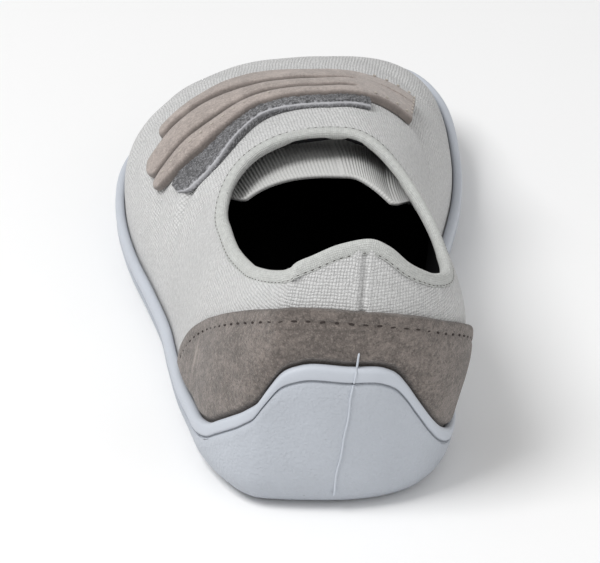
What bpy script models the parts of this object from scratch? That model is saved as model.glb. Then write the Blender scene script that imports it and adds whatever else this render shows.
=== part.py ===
"""Child's barefoot shoe, left foot, standing empty on its sole.

A thin rubber cup sole with a heel wrap, a hollow canvas upper, a suede heel counter, a bound
collar, an elastic tongue under the front of the collar, a loop pad and a three-fingered suede
strap over the instep, and a loose insole. +Y runs from heel to toe, +X to the inner side of
the foot, +Z up.
"""
import math

import bmesh
import bpy
import numpy as np
from mathutils import Matrix, Vector

# Driving dimensions, in metres
SOLE_LENGTH = 0.208
BALL_WIDTH = 0.0943
INSTEP_HEIGHT = 0.058
HEEL_HEIGHT = 0.070
RIM_HEIGHT = 0.014
WRAP_HEIGHT = 0.0405
TOE_SPRING = 0.007
SOLE_FLOOR = 0.005
RIM_WALL = 0.0022
EDGE_ROUND = 0.008
LIP_BAND = 0.004
LIP_STEP = 0.0006
UPPER_WALL = 0.0018
INSOLE_THICKNESS = 0.003
COUNTER_THICKNESS = 0.0013
BINDING_WIDTH = 0.0032
BINDING_THICKNESS = 0.0008
BINDING_SLACK = 0.0013
TONGUE_THICKNESS = 0.0012
TONGUE_DROP = 0.0022
STRAP_THICKNESS = 0.0022
PAD_THICKNESS = 0.0016
TRACK_WIDTH = SOLE_LENGTH * 0.0202
TRACK_PITCH = SOLE_LENGTH * 0.026
TRACK_DEPTH = 0.0014
TOE_DENT_DEPTH = 0.0016
GAP = 0.0003
OVERLAY_GAP = 0.0006
COUNTER_SEAT = 0.0009

# The foot's lean to its inner side, as a slope, and where it fades out along the sole
LEAN_SLOPE = 0.12
LEAN_FULL = 0.10
LEAN_GONE = 0.53
# Where the toe spring starts, and the two ends of the crown's ridge, along the sole
SPRING_START = 0.72
RIDGE_REAR = 0.216
RIDGE_FRONT = 0.793
# Fall of the crown over the toes, as a slope
TOE_SLOPE = 0.37
# Fullness of the last's cross section: 2 is an ellipse, more is squarer
FULLNESS = 2.5

# Sole outline. A station runs from -1 at the toe round the outer side to 0 at the heel, and
# round the inner side to 1 at the toe. Across is a share of the ball width, + to the inner side
OUTLINE_COLUMNS = ("station", "across")
OUTLINE = (
    (-1.00, 0.068), (-0.97, -0.012), (-0.94, -0.105), (-0.91, -0.202), (-0.88, -0.280),
    (-0.84, -0.375), (-0.80, -0.456), (-0.75, -0.535), (-0.70, -0.600), (-0.65, -0.636),
    (-0.60, -0.638), (-0.55, -0.616), (-0.50, -0.572), (-0.45, -0.510), (-0.40, -0.457),
    (-0.35, -0.425), (-0.30, -0.392), (-0.25, -0.354), (-0.20, -0.321), (-0.16, -0.283),
    (-0.12, -0.242), (-0.09, -0.213), (-0.06, -0.181), (-0.03, -0.142), (0.00, -0.045),
    (0.03, 0.072), (0.06, 0.150), (0.09, 0.213), (0.12, 0.265), (0.16, 0.312),
    (0.20, 0.343), (0.25, 0.354), (0.30, 0.344), (0.35, 0.330), (0.40, 0.315),
    (0.45, 0.304), (0.50, 0.313), (0.55, 0.338), (0.60, 0.357), (0.65, 0.362),
    (0.70, 0.354), (0.75, 0.340), (0.80, 0.316), (0.84, 0.286), (0.88, 0.247),
    (0.91, 0.211), (0.94, 0.163), (0.97, 0.117), (1.00, 0.068),
)
# Height of the sole's rim: side is a share of the rim height, and wrap goes from 0, the side's
# height, to 1, the heel wrap's height
RIM_COLUMNS = ("station", "side", "wrap")
RIM = (
    (-1.000, 1.12, 0.0), (-0.800, 1.05, 0.0), (-0.600, 1.00, 0.0), (-0.500, 0.90, 0.0),
    (-0.440, 0.78, 0.0), (-0.350, 0.76, 0.0), (-0.255, 0.76, 0.03), (-0.207, 0.75, 0.09),
    (-0.170, 0.75, 0.18), (-0.150, 0.75, 0.27), (-0.123, 0.75, 0.38), (-0.081, 0.75, 0.53),
    (-0.051, 0.75, 0.66), (-0.034, 0.75, 0.80), (-0.022, 0.75, 0.94), (-0.010, 0.75, 1.0),
    (0.025, 0.75, 1.0), (0.059, 0.75, 0.97), (0.076, 0.75, 0.90), (0.090, 0.75, 0.79),
    (0.105, 0.75, 0.65), (0.130, 0.75, 0.44), (0.155, 0.75, 0.28), (0.180, 0.76, 0.16),
    (0.210, 0.78, 0.06), (0.250, 0.80, 0.0), (0.350, 0.80, 0.0), (0.500, 0.88, 0.0),
    (0.700, 1.00, 0.0), (1.000, 1.12, 0.0),
)
# The last above the sole: crown is a share of the instep height, bulge of the ball width
LAST_COLUMNS = ("station", "crown", "bulge")
LAST = (
    (-1.00, 0.690, 0.000), (-0.80, 0.690, 0.004), (-0.70, 0.690, 0.010), (-0.65, 0.770, 0.014),
    (-0.60, 0.870, 0.016), (-0.55, 0.950, 0.018), (-0.50, 0.985, 0.018), (-0.45, 1.005, 0.012),
    (-0.40, 1.040, 0.008), (-0.35, 1.060, 0.005), (-0.30, 1.085, 0.004), (-0.25, 1.125, 0.006),
    (-0.20, 1.180, 0.010), (-0.16, 1.250, 0.011), (-0.12, 1.340, 0.010), (-0.08, 1.460, 0.008),
    (-0.04, 1.610, 0.006), (0.03, 1.740, 0.006), (0.08, 1.620, 0.007), (0.12, 1.470, 0.010),
    (0.16, 1.340, 0.018), (0.20, 1.240, 0.030), (0.25, 1.150, 0.046), (0.30, 1.100, 0.056),
    (0.35, 1.070, 0.054), (0.40, 1.040, 0.044), (0.45, 1.005, 0.032), (0.50, 0.985, 0.022),
    (0.55, 0.950, 0.012), (0.60, 0.870, 0.008), (0.65, 0.770, 0.006), (0.70, 0.690, 0.004),
    (0.80, 0.690, 0.002), (1.00, 0.690, 0.000),
)
# Line of the crown's ridge: both are shares, of the sole's length and of the ball width
RIDGE_COLUMNS = ("along", "across")
RIDGE = (
    (0.00, 0.032), (0.216, 0.032), (0.45, 0.020), (0.60, -0.050), (0.72, -0.075), (1.00, -0.085),
)
# Collar height behind the throat, as a share of the heel height
COLLAR_COLUMNS = ("station", "height")
COLLAR = (
    (-0.36, 0.684), (-0.32, 0.692), (-0.28, 0.707), (-0.227, 0.740), (-0.18, 0.779),
    (-0.117, 0.834), (-0.049, 0.899), (-0.02, 0.940), (0.005, 0.990), (0.03, 1.010),
    (0.05, 0.985), (0.085, 0.910), (0.13, 0.842), (0.19, 0.779), (0.24, 0.740),
    (0.29, 0.707), (0.33, 0.692), (0.36, 0.684),
)
THROAT_START = 0.36
THROAT_END = 0.46
# Top edge of the heel counter, as a share of the heel height; it runs down to the rim at both ends
COUNTER_COLUMNS = ("station", "height")
COUNTER = (
    (-0.326, 0.15), (-0.322, 0.22), (-0.312, 0.30), (-0.300, 0.36), (-0.285, 0.42),
    (-0.265, 0.48), (-0.225, 0.565), (-0.186, 0.63), (-0.14, 0.690), (-0.099, 0.730),
    (-0.05, 0.765), (-0.012, 0.783), (0.029, 0.776), (0.082, 0.743), (0.154, 0.665),
    (0.220, 0.570), (0.250, 0.51), (0.275, 0.43), (0.295, 0.33), (0.305, 0.25), (0.309, 0.17),
)
# Loop pad: sweep is the turn round the section in degrees, 0 at the outer feather, 90 at the
# ridge, 180 at the inner feather; rear and front are the stations of its two edges
PAD_COLUMNS = ("sweep", "rear", "front")
PAD = (
    (36, 0.451, 0.462), (39, 0.441, 0.466), (45, 0.437, 0.467), (52, 0.441, 0.469),
    (65, 0.467, 0.489), (75, 0.490, 0.508), (90, 0.507, 0.523), (108, 0.518, 0.533),
)
# Strap: the stations of its rear edge, of the slots between its fingers and of its front edge
STRAP_COLUMNS = ("sweep", "rear", "slot_2_3", "slot_1_2", "front")
STRAP = (
    (28, 0.477, 0.490, 0.515, 0.533), (38, 0.472, 0.491, 0.523, 0.543),
    (48, 0.473, 0.499, 0.534, 0.554), (60, 0.484, 0.508, 0.545, 0.569),
    (75, 0.511, 0.530, 0.555, 0.596), (90, 0.527, 0.545, 0.570, 0.610),
    (108, 0.537, 0.556, 0.583, 0.618), (130, 0.545, 0.565, 0.590, 0.618),
)
# Sweep at each finger's tip, from the rear finger to the front one, and where the slots end
FINGER_TIPS = (30.0, 31.0, 41.0)
SLOT_END = 104.0
# Sweep over which a tip is round, and over which a slot opens
TIP_ROUND = 5.0
SLOT_OPENING = 20.0
# Half width of each slot, as a station
SLOT_HALF = (0.0013, 0.0032)
# Where a finger has its columns across, and its sections before and behind the slots' end
FINGER_SHARES = (0.0, 0.1, 0.5, 0.9, 1.0)
FINGER_SECTIONS = 14
BASE_SECTIONS = 3
# Elastic tongue: sweep from the ridge to each side, and its rear edge's station
TONGUE_COLUMNS = ("sweep", "rear")
TONGUE = ((50, 0.405), (65, 0.420), (90, 0.432), (115, 0.420), (130, 0.405))
TONGUE_FRONT = 0.53
# Stations from the tongue's front to where it leaves the canvas, and to where it hangs free
TONGUE_SEATED = 0.005
TONGUE_FREE = 0.035
# Share of a track's width that is flat at its bottom
TRACK_BED = 0.54
# Unit across the tread, as a share of the sole's length
TREAD_SPREAD = 0.4534
# Tread tracks: the middle of each turn's outer end, in tread units across and sole lengths along
TRACK_COLUMNS = ("across", "along")
FRONT_TRACK = (
    (-0.170, 0.788), (0.138, 0.714), (-0.339, 0.765), (0.196, 0.647), (-0.419, 0.714),
    (0.186, 0.587), (-0.470, 0.656), (0.127, 0.538), (-0.475, 0.596), (0.085, 0.481),
    (-0.424, 0.526), (0.058, 0.421), (-0.382, 0.459), (0.080, 0.365), (-0.339, 0.397),
    (0.111, 0.310), (-0.186, 0.334),
)
HEEL_TRACK = (
    (-0.170, 0.300), (0.186, 0.233), (-0.286, 0.264), (0.207, 0.163), (-0.270, 0.204),
    (0.191, 0.111), (-0.244, 0.151), (0.117, 0.073), (-0.180, 0.089), (-0.030, 0.053),
)
# Toe dents: place, half length and half width as shares, and the turn of the long axis in degrees
DENT_COLUMNS = ("across", "along", "half_length", "half_width", "turn")
DENTS = (
    (0.109, 0.866, 0.0683, 0.1188, 93), (-0.089, 0.879, 0.0457, 0.0615, 101),
    (-0.233, 0.862, 0.0389, 0.0573, 108), (-0.341, 0.824, 0.0409, 0.0541, 113),
    (-0.431, 0.779, 0.0361, 0.0467, 118),
)
# Share of the binding's width that is folded to the inside
BINDING_FOLD = 0.3
# Section of the insole's edge, inwards and up as shares of its thickness
INSOLE_EDGE = ((0.5, 0.0), (0.0, 0.3), (0.0, 0.75), (0.5, 1.0))
# Share of the wall's height at the last level below the collar's edge
EDGE_LEVEL = 0.91
# Stations at which the solids have a section, on each side of the heel
SECTIONS = (
    0.0, 0.012, 0.024, 0.036, 0.052, 0.068, 0.084, 0.10, 0.12, 0.14, 0.16, 0.185, 0.21, 0.24,
    0.275, 0.31, 0.35, 0.38, 0.405, 0.425, 0.44, 0.45, 0.457, 0.46, 0.485, 0.52, 0.56, 0.60,
    0.64, 0.68, 0.72, 0.76, 0.80, 0.84, 0.875, 0.905, 0.93, 0.95, 0.97, 0.985, 1.0,
)


def table_value(rows, column, at, period=None):
    """Smooth curve through one column of a table, by cubic pieces with mean slopes at the rows."""
    table = np.array(rows, float)
    x, y = table[:, 0], table[:, column]
    if period:
        x = np.concatenate([x[-3:-1] - period, x, x[1:3] + period])
        y = np.concatenate([y[-3:-1], y, y[1:3]])
    slope = np.gradient(y, x)
    at = np.clip(np.asarray(at, float), x[0], x[-1])
    i = np.clip(np.searchsorted(x, at, side="right") - 1, 0, len(x) - 2)
    step = x[i + 1] - x[i]
    t = (at - x[i]) / step
    rise = (3 - 2 * t) * t * t
    return (y[i] * (1 - rise) + y[i + 1] * rise
            + step * t * (1 - t) * ((1 - t) * slope[i] - t * slope[i + 1]))


def ease(value):
    """Smooth step from 0 to 1."""
    value = np.clip(value, 0.0, 1.0)
    return value * value * (3 - 2 * value)


def outline(station):
    """Plan of the sole's outer edge: length by a cosine, so that both ends are round."""
    along = SOLE_LENGTH * (1 - np.cos(math.pi * station)) / 2
    across = BALL_WIDTH * table_value(OUTLINE, 1, station, period=2.0)
    return np.stack([across, along], axis=-1)


def outward(station):
    """Plan normal of the outline, pointing out of the shoe."""
    tiny = 0.004
    ahead = outline(np.asarray(station) + tiny)
    behind = outline(np.asarray(station) - tiny)
    tangent = ahead - behind
    tangent = tangent / np.linalg.norm(tangent, axis=-1, keepdims=True)
    return np.stack([tangent[..., 1], -tangent[..., 0]], axis=-1)


def rim_height(station):
    """Height of the sole's rim, with the raised wrap at the heel."""
    side = table_value(RIM, 1, station)
    wrap = table_value(RIM, 2, station)
    return RIM_HEIGHT * side * (1 - wrap) + WRAP_HEIGHT * wrap


def crown_height(station):
    """Height that the last's cross section would close at, one height round the ridge's front."""
    front = math.acos(1 - 2 * RIDGE_FRONT) / math.pi
    return INSTEP_HEIGHT * table_value(LAST, 1, np.clip(station, -front, front))


def toe_fall(along):
    """How far the crown has come down ahead of the ridge's front end."""
    return TOE_SLOPE * np.maximum(along - SOLE_LENGTH * RIDGE_FRONT, 0)


def feather_height():
    """Height of the upper's lower edge, just clear of the cup's floor."""
    return SOLE_FLOOR + GAP


def last_point(station, turn, out=0.0):
    """A point of the upper's outer face, out metres outside it along the plan normal.

    The section is a superellipse from the feather edge, turn 0, to the ridge, turn pi/2.
    """
    station = np.asarray(station, float)
    turn = np.asarray(turn, float)
    normal = outward(station)
    base = outline(station) - normal * (RIM_WALL + GAP)
    along = np.clip(outline(station)[..., 1] / SOLE_LENGTH, RIDGE_REAR, RIDGE_FRONT)
    ridge = np.stack([BALL_WIDTH * table_value(RIDGE, 1, along), SOLE_LENGTH * along], axis=-1)
    share = 1 - np.cos(np.minimum(turn, math.pi / 2)).clip(0, 1) ** (2 / FULLNESS)
    rise = np.sin(turn) ** (2 / FULLNESS)
    swell = BALL_WIDTH * table_value(LAST, 2, station) * (4 * rise * (1 - rise)) ** 2
    plan = base + (ridge - base) * share[..., None] + normal * (swell + out)[..., None]
    crown = crown_height(station) - toe_fall(plan[..., 1])
    height = feather_height() + (crown - feather_height()) * rise
    return np.concatenate([plan, height[..., None]], axis=-1)


def turn_at(station, height):
    """The turn at which the last's section reaches a height, found in a few steps at the toe."""
    along = outline(station)[..., 1]
    for _ in range(6):
        crown = crown_height(station) - toe_fall(along)
        rise = (height - feather_height()) / (crown - feather_height())
        turn = np.arcsin(np.clip(rise, 0, 1) ** (FULLNESS / 2))
        along = last_point(station, turn)[..., 1]
    return turn


def last_normal(station, turn):
    """Outward normal of the last's surface, from small steps both ways."""
    small = 1e-3
    low = np.clip(turn, 0.02, math.pi / 2 - 0.02)
    along = last_point(station + small, low) - last_point(station - small, low)
    up = last_point(station, low + small) - last_point(station, low - small)
    normal = np.cross(along, up)
    return normal / np.linalg.norm(normal, axis=-1, keepdims=True)


def offset_point(station, turn, distance):
    """A point of the last's surface moved along its normal."""
    return last_point(station, turn) + last_normal(station, turn) * np.asarray(distance)[..., None]


def collar_turn(station):
    """Turn of the collar's edge: by height behind the throat, then a half ellipse to the ridge."""
    station = np.asarray(station, float)
    side = np.abs(station)
    height = HEEL_HEIGHT * table_value(COLLAR, 1, np.clip(station, -THROAT_START, THROAT_START))
    turn = turn_at(station, height)
    start = np.sign(station) * THROAT_START
    start_turn = turn_at(start, HEEL_HEIGHT * table_value(COLLAR, 1, start))
    start_share = 1 - np.cos(start_turn) ** (2 / FULLNESS)
    reach = np.clip((side - THROAT_START) / (THROAT_END - THROAT_START), 0, 1)
    share = 1 - (1 - start_share) * np.sqrt(1 - reach ** 2)
    throat = np.arccos(np.clip(1 - share, 0, 1) ** (FULLNESS / 2))
    return np.where(side > THROAT_START, throat, turn)


def settle(points):
    """Last frame to shoe: the lean to the inner side at the heel, and the toe spring."""
    points = np.array(points, float)
    x, y, z = points[..., 0], points[..., 1], points[..., 2]
    knee = EDGE_ROUND
    lean = LEAN_SLOPE * (np.sqrt(np.maximum(z, 0) ** 2 + knee ** 2) - knee)
    fade = 1 - ease((y / SOLE_LENGTH - LEAN_FULL) / (LEAN_GONE - LEAN_FULL))
    toe = np.clip((y / SOLE_LENGTH - SPRING_START) / (1 - SPRING_START), 0, None)
    return np.stack([x + lean * fade, y, z + TOE_SPRING * toe ** 2], axis=-1)


def signed_sections(first=-1.0, last=1.0):
    """All sections round the shoe from station first to station last."""
    both = sorted({-s for s in SECTIONS} | set(SECTIONS))
    inside = [s for s in both if first < s < last]
    return np.array([first] + inside + [last])


def material(name, colour, roughness):
    """A plain Principled material."""
    finish = bpy.data.materials.new(name)
    finish.use_nodes = True
    shader = finish.node_tree.nodes["Principled BSDF"]
    shader.inputs["Base Color"].default_value = (*colour, 1.0)
    shader.inputs["Roughness"].default_value = roughness
    shader.inputs["Metallic"].default_value = 0.0
    finish.diffuse_color = (*colour, 1.0)
    return finish


def make_object(name, collection, points, faces, finish=None):
    """An object from a point array and face index lists, its doubles merged."""
    mesh = bpy.data.meshes.new(name)
    mesh.from_pydata([tuple(p) for p in settle(points).reshape(-1, 3)], [], faces)
    body = bmesh.new()
    body.from_mesh(mesh)
    bmesh.ops.remove_doubles(body, verts=body.verts, dist=2e-5)
    bmesh.ops.dissolve_degenerate(body, edges=body.edges, dist=1e-6)
    body.to_mesh(mesh)
    body.free()
    mesh.shade_smooth()
    mesh.set_sharp_from_angle(angle=math.radians(40))
    thing = bpy.data.objects.new(name, mesh)
    collection.objects.link(thing)
    if finish:
        mesh.materials.append(finish)
    return thing


def grid_faces(rows, columns, closed_rows=False, closed_columns=False):
    """Quads of a grid whose points are stored row by row."""
    faces = []
    for i in range(rows if closed_rows else rows - 1):
        for j in range(columns if closed_columns else columns - 1):
            a, b = i * columns, (i + 1) % rows * columns
            c, d = j, (j + 1) % columns
            faces.append((a + c, b + c, b + d, a + d))
    return faces


def face_outwards(thing):
    """Turn a closed mesh's faces outwards."""
    body = bmesh.new()
    body.from_mesh(thing.data)
    bmesh.ops.recalc_face_normals(body, faces=body.faces)
    body.to_mesh(thing.data)
    body.free()


def add_wall(thing, thickness, side):
    """Give an open surface its wall, inwards with side -1 and outwards with side 1."""
    solid = thing.modifiers.new("wall", "SOLIDIFY")
    solid.thickness = thickness
    solid.offset = side
    solid.use_even_offset = True
    solid.use_rim = True
    return solid


def across_strips(count, start, ring):
    """Quads across a closed ring of stations, from the outer side to the inner side."""
    faces = []
    half = (count - 1) // 2
    for k in range(half):
        low, high = half - k, half - k - 1
        corners = dict.fromkeys((low, high, count - 1 - high, count - 1 - low))
        faces.append(tuple(start + ring * count + i for i in corners))
    return faces


def outsole(collection, finish):
    """Cup sole: flat bottom, round edge, side wall with a lip band, top, inner wall and floor."""
    stations = signed_sections()
    rim = rim_height(stations)
    round_top = np.minimum(EDGE_ROUND, rim - LIP_BAND - LIP_STEP)
    plan, normal = outline(stations), outward(stations)
    rings = []
    for angle in (0.0, 24.0, 46.0, 68.0):
        turn = math.radians(angle)
        inset = EDGE_ROUND * (1 - math.sin(turn))
        height = round_top * (1 - math.cos(turn))
        rings.append(np.concatenate([plan - normal * inset, height[:, None]], axis=1))

    def wall_ring(height, out):
        turn = turn_at(stations, height)
        ring = last_point(stations, turn, np.full(len(stations), GAP + out))
        ring[:, 2] = height
        return ring

    lip = rim - LIP_BAND
    for share in (0.0, 0.35, 0.7):
        rings.append(wall_ring(round_top + (lip - LIP_STEP - round_top) * share, RIM_WALL))
    rings.append(wall_ring(lip - LIP_STEP, RIM_WALL))
    rings.append(wall_ring(lip, RIM_WALL - LIP_STEP))
    rings.append(wall_ring(lip + LIP_STEP, RIM_WALL))
    rings.append(wall_ring(rim - RIM_WALL * 0.35, RIM_WALL))
    rings.append(wall_ring(rim, RIM_WALL * 0.68))
    rings.append(wall_ring(rim, RIM_WALL * 0.25))
    rings.append(wall_ring(rim - RIM_WALL * 0.25, 0.0))
    for share in (0.75, 0.5, 0.25, 0.0):
        rings.append(wall_ring(SOLE_FLOOR + (rim - RIM_WALL * 0.25 - SOLE_FLOOR) * share, 0.0))
    count = len(stations)
    points = np.array(rings)
    faces = grid_faces(len(rings), count)
    faces += across_strips(count, 0, 0)
    faces += [tuple(reversed(f)) for f in across_strips(count, 0, len(rings) - 1)]
    thing = make_object("outsole", collection, points, faces, finish)
    face_outwards(thing)
    return thing


def upper(collection, finish):
    """Hollow canvas upper: a station by turn grid up to the collar, given its wall inwards."""
    stations = signed_sections()
    top = np.where(np.abs(stations) >= THROAT_END, math.pi / 2, collar_turn(stations))
    levels = np.append(np.linspace(0, EDGE_LEVEL, 10), 1.0)
    turn = top[:, None] * levels[None, :]
    points = last_point(np.repeat(stations[:, None], len(levels), axis=1), turn)
    thing = make_object("upper", collection, points, grid_faces(len(stations), len(levels)), finish)
    add_wall(thing, UPPER_WALL, -1)
    return thing


def insole(collection, finish):
    """Loose insole on the cup's floor, with a softly rounded edge."""
    stations = signed_sections()[::2]
    inset = RIM_WALL + UPPER_WALL + 3 * GAP
    floor = SOLE_FLOOR + GAP
    plan, normal = outline(stations), outward(stations)
    rings = []
    for extra, rise in INSOLE_EDGE:
        edge = plan - normal * (inset + INSOLE_THICKNESS * extra)
        height = np.full((len(stations), 1), floor + INSOLE_THICKNESS * rise)
        rings.append(np.concatenate([edge, height], axis=1))
    count = len(stations)
    faces = grid_faces(len(rings), count)
    faces += across_strips(count, 0, 0)
    faces += [tuple(reversed(f)) for f in across_strips(count, 0, len(rings) - 1)]
    thing = make_object("insole", collection, np.array(rings), faces, finish)
    face_outwards(thing)
    return thing


def heel_counter(collection, finish):
    """Suede counter round the heel, from the rim's top up to its own rounded edge."""
    stations = signed_sections(COUNTER[0][0], COUNTER[-1][0])
    rim = rim_height(stations)
    low = rim + COUNTER_SEAT
    high = np.maximum(HEEL_HEIGHT * table_value(COUNTER, 1, stations), low)
    high[[0, -1]] = low[[0, -1]]
    shares = np.linspace(0, 1, 6)
    height = low[:, None] + (high - low)[:, None] * shares[None, :]
    grid = np.repeat(stations[:, None], len(shares), axis=1)
    points = offset_point(grid, turn_at(grid, height), np.full(grid.shape, OVERLAY_GAP))
    thing = make_object("heel_counter", collection, points,
                        grid_faces(len(stations), len(shares)), finish)
    add_wall(thing, COUNTER_THICKNESS, 1)
    return thing


def collar_binding(collection, finish):
    """Folded strip round the collar's edge, a U section carried along it."""
    stations = signed_sections(-THROAT_END, THROAT_END)[:-1]
    turn = collar_turn(stations)
    edge = last_point(stations, turn)
    tangent = np.roll(edge, -1, axis=0) - np.roll(edge, 1, axis=0)
    tangent /= np.linalg.norm(tangent, axis=1, keepdims=True)
    rise = np.cross(last_normal(stations, turn), tangent)
    rise /= np.linalg.norm(rise, axis=1, keepdims=True)
    normal = np.cross(tangent, rise)
    near, far = OVERLAY_GAP, OVERLAY_GAP + BINDING_THICKNESS
    back_near = -UPPER_WALL - BINDING_SLACK
    back_far = back_near - BINDING_THICKNESS
    fold = BINDING_WIDTH * BINDING_FOLD
    section = (
        (near, -BINDING_WIDTH), (far, -BINDING_WIDTH), (far, near), (near, far),
        (back_near, far), (back_far, near), (back_far, -fold),
        (back_near, -fold), (back_near, near), (near, near),
    )
    points = np.array([edge + normal * n + rise * r for n, r in section])
    points = np.swapaxes(points, 0, 1)
    faces = grid_faces(len(stations), len(section), closed_rows=True, closed_columns=True)
    thing = make_object("collar_binding", collection, points, faces, finish)
    face_outwards(thing)
    return thing


def sweep_point(station, sweep, distance):
    """A point over the crown: the sweep runs from the outer side over the ridge to the inner."""
    inner = sweep > 90
    side = np.where(inner, station, -station)
    turn = np.radians(np.where(inner, 180 - sweep, sweep))
    return offset_point(side, turn, distance)


def loop_pad(collection, finish):
    """Loop half of the strap's fastening, lying on the canvas behind the fingers."""
    sweep = np.linspace(PAD[0][0], PAD[-1][0], 15)
    shares = np.linspace(0, 1, 4)
    rear, front = table_value(PAD, 1, sweep), table_value(PAD, 2, sweep)
    station = rear[:, None] + (front - rear)[:, None] * shares[None, :]
    grid = np.repeat(sweep[:, None], len(shares), axis=1)
    points = sweep_point(station, grid, np.full(grid.shape, OVERLAY_GAP))
    thing = make_object("loop_pad", collection, points,
                        grid_faces(len(sweep), len(shares)), finish)
    add_wall(thing, PAD_THICKNESS, 1)
    return thing


def strap(collection, finish):
    """Suede strap with three fingers: one grid over the crown, its slots left out."""
    columns, tips, fingers = [], [], []
    for finger in range(3):
        for share in FINGER_SHARES:
            columns.append((finger + 1, finger + 2, share))
            tips.append(1 - math.sqrt(1 - (2 * share - 1) ** 2))
            fingers.append(finger)
    count = len(columns)
    start = np.array([FINGER_TIPS[f] + TIP_ROUND * t for f, t in zip(fingers, tips)])
    end = STRAP[-1][0]
    fixed = np.linspace(SLOT_END, end, BASE_SECTIONS + 1)[1:]
    run = np.linspace(0, 1, FINGER_SECTIONS)
    sweep = np.concatenate([start[None, :] + (SLOT_END - start)[None, :] * run[:, None],
                            np.repeat(fixed[:, None], count, axis=1)])
    station = np.empty(sweep.shape)
    for k, (low, high, share) in enumerate(columns):
        first = table_value(STRAP, low, sweep[:, k])
        last = table_value(STRAP, high, sweep[:, k])
        opening = ease((SLOT_END - sweep[:, k]) / SLOT_OPENING)
        if low > 1:
            first = first + SLOT_HALF[low - 2] * opening
        if high < len(STRAP_COLUMNS) - 1:
            last = last - SLOT_HALF[high - 2] * opening
        station[:, k] = first + (last - first) * share
    points = sweep_point(station, sweep, np.full(sweep.shape, OVERLAY_GAP))
    faces = []
    for face in grid_faces(len(sweep), count):
        row, column = divmod(face[0], count)
        in_slot = fingers[column] != fingers[column + 1]
        if not (in_slot and row < FINGER_SECTIONS - 1):
            faces.append(face)
    thing = make_object("strap", collection, points, faces, finish)
    add_wall(thing, STRAP_THICKNESS, 1)
    return thing


def elastic_tongue(collection, finish):
    """Elastic tongue under the front of the collar, sloping down into the opening."""
    sweep = np.linspace(TONGUE[0][0], TONGUE[-1][0], 13)
    shares = np.linspace(0, 1, 7)
    rear = table_value(TONGUE, 1, sweep)
    station = rear[:, None] + (TONGUE_FRONT - rear)[:, None] * shares[None, :]
    grid = np.repeat(sweep[:, None], len(shares), axis=1)
    open_part = ease((TONGUE_FRONT - TONGUE_SEATED - station) / TONGUE_FREE)
    middle = 1 - ((grid - 90) / (90 - TONGUE[0][0])) ** 2
    seat = UPPER_WALL + 2 * GAP
    past_binding = BINDING_SLACK + BINDING_THICKNESS + 2 * GAP
    depth = seat + open_part * (past_binding + TONGUE_DROP * middle)
    points = sweep_point(station, grid, -depth)
    thing = make_object("elastic_tongue", collection, points,
                        grid_faces(len(sweep), len(shares)), finish)
    add_wall(thing, TONGUE_THICKNESS, -1)
    return thing


def track_path(turns):
    """A serpentine through its turns: straight rows joined by half circles."""
    ends = np.array(turns) * (TREAD_SPREAD * SOLE_LENGTH, SOLE_LENGTH)
    radius = TRACK_PITCH / 2
    path = [ends[0]]
    for k in range(1, len(ends) - 1):
        row = ends[k] - (ends[k - 1] + ends[k + 1]) / 2
        row /= np.linalg.norm(row)
        across = np.array([-row[1], row[0]]) * (1 if row[0] > 0 else -1)
        centre = ends[k] - row * (radius + TRACK_WIDTH / 2)
        for angle in np.linspace(0, math.pi, 6):
            path.append(centre + across * radius * math.cos(angle) + row * radius * math.sin(angle))
    path.append(ends[-1])
    return np.array(path)


def track_cutter(name, collection, turns):
    """A shallow trough carried along a track, open at the sole's bottom."""
    path = track_path(turns)
    ahead = np.gradient(path, axis=0)
    ahead /= np.linalg.norm(ahead, axis=1, keepdims=True)
    side = np.stack([-ahead[:, 1], ahead[:, 0]], axis=1)
    below = -SOLE_FLOOR / 4
    half, bed = 0.5, TRACK_BED / 2
    profile = ((-half, below), (-half, 0.0), (-bed, TRACK_DEPTH), (bed, TRACK_DEPTH),
               (half, 0.0), (half, below))
    rings = [np.column_stack([path + side * TRACK_WIDTH * share, np.full(len(path), height)])
             for share, height in profile]
    points = np.swapaxes(np.array(rings), 0, 1)
    count = len(profile)
    faces = grid_faces(len(path), count, closed_columns=True)
    faces.append(tuple(range(count)))
    faces.append(tuple(len(path) * count - 1 - k for k in range(count)))
    thing = make_object(name, collection, points, faces)
    face_outwards(thing)
    hide(thing)
    return thing


def dent_cutter(name, collection, row):
    """A flattened ball that presses one toe's dent into the sole."""
    across, along, length, width, turn = row
    ball = bmesh.new()
    bmesh.ops.create_uvsphere(ball, u_segments=20, v_segments=10, radius=1.0)
    points = np.array([v.co[:] for v in ball.verts])
    faces = [tuple(v.index for v in f.verts) for f in ball.faces]
    ball.free()
    reach = TOE_DENT_DEPTH * 4
    grown = 1 / math.sqrt(1 - ((reach - TOE_DENT_DEPTH) / reach) ** 2)
    points = points * (length * SOLE_LENGTH * grown, width * BALL_WIDTH * grown, reach)
    angle = math.radians(turn)
    x = points[:, 0] * math.cos(angle) - points[:, 1] * math.sin(angle) + across * BALL_WIDTH
    y = points[:, 0] * math.sin(angle) + points[:, 1] * math.cos(angle) + along * SOLE_LENGTH
    z = points[:, 2] - reach + TOE_DENT_DEPTH
    thing = make_object(name, collection, np.stack([x, y, z], axis=1), faces)
    face_outwards(thing)
    hide(thing)
    return thing


def hide(thing):
    """Mark a cutter: not rendered, drawn as wire."""
    thing.hide_render = True
    thing.display_type = "WIRE"


def cut(thing, cutter):
    """Cut one object out of another."""
    boolean = thing.modifiers.new(cutter.name, "BOOLEAN")
    boolean.operation = "DIFFERENCE"
    boolean.object = cutter
    boolean.solver = "EXACT"
    boolean.use_self = True


def new_collection(name):
    """A collection in the scene."""
    group = bpy.data.collections.new(name)
    bpy.context.scene.collection.children.link(group)
    return group


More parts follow.
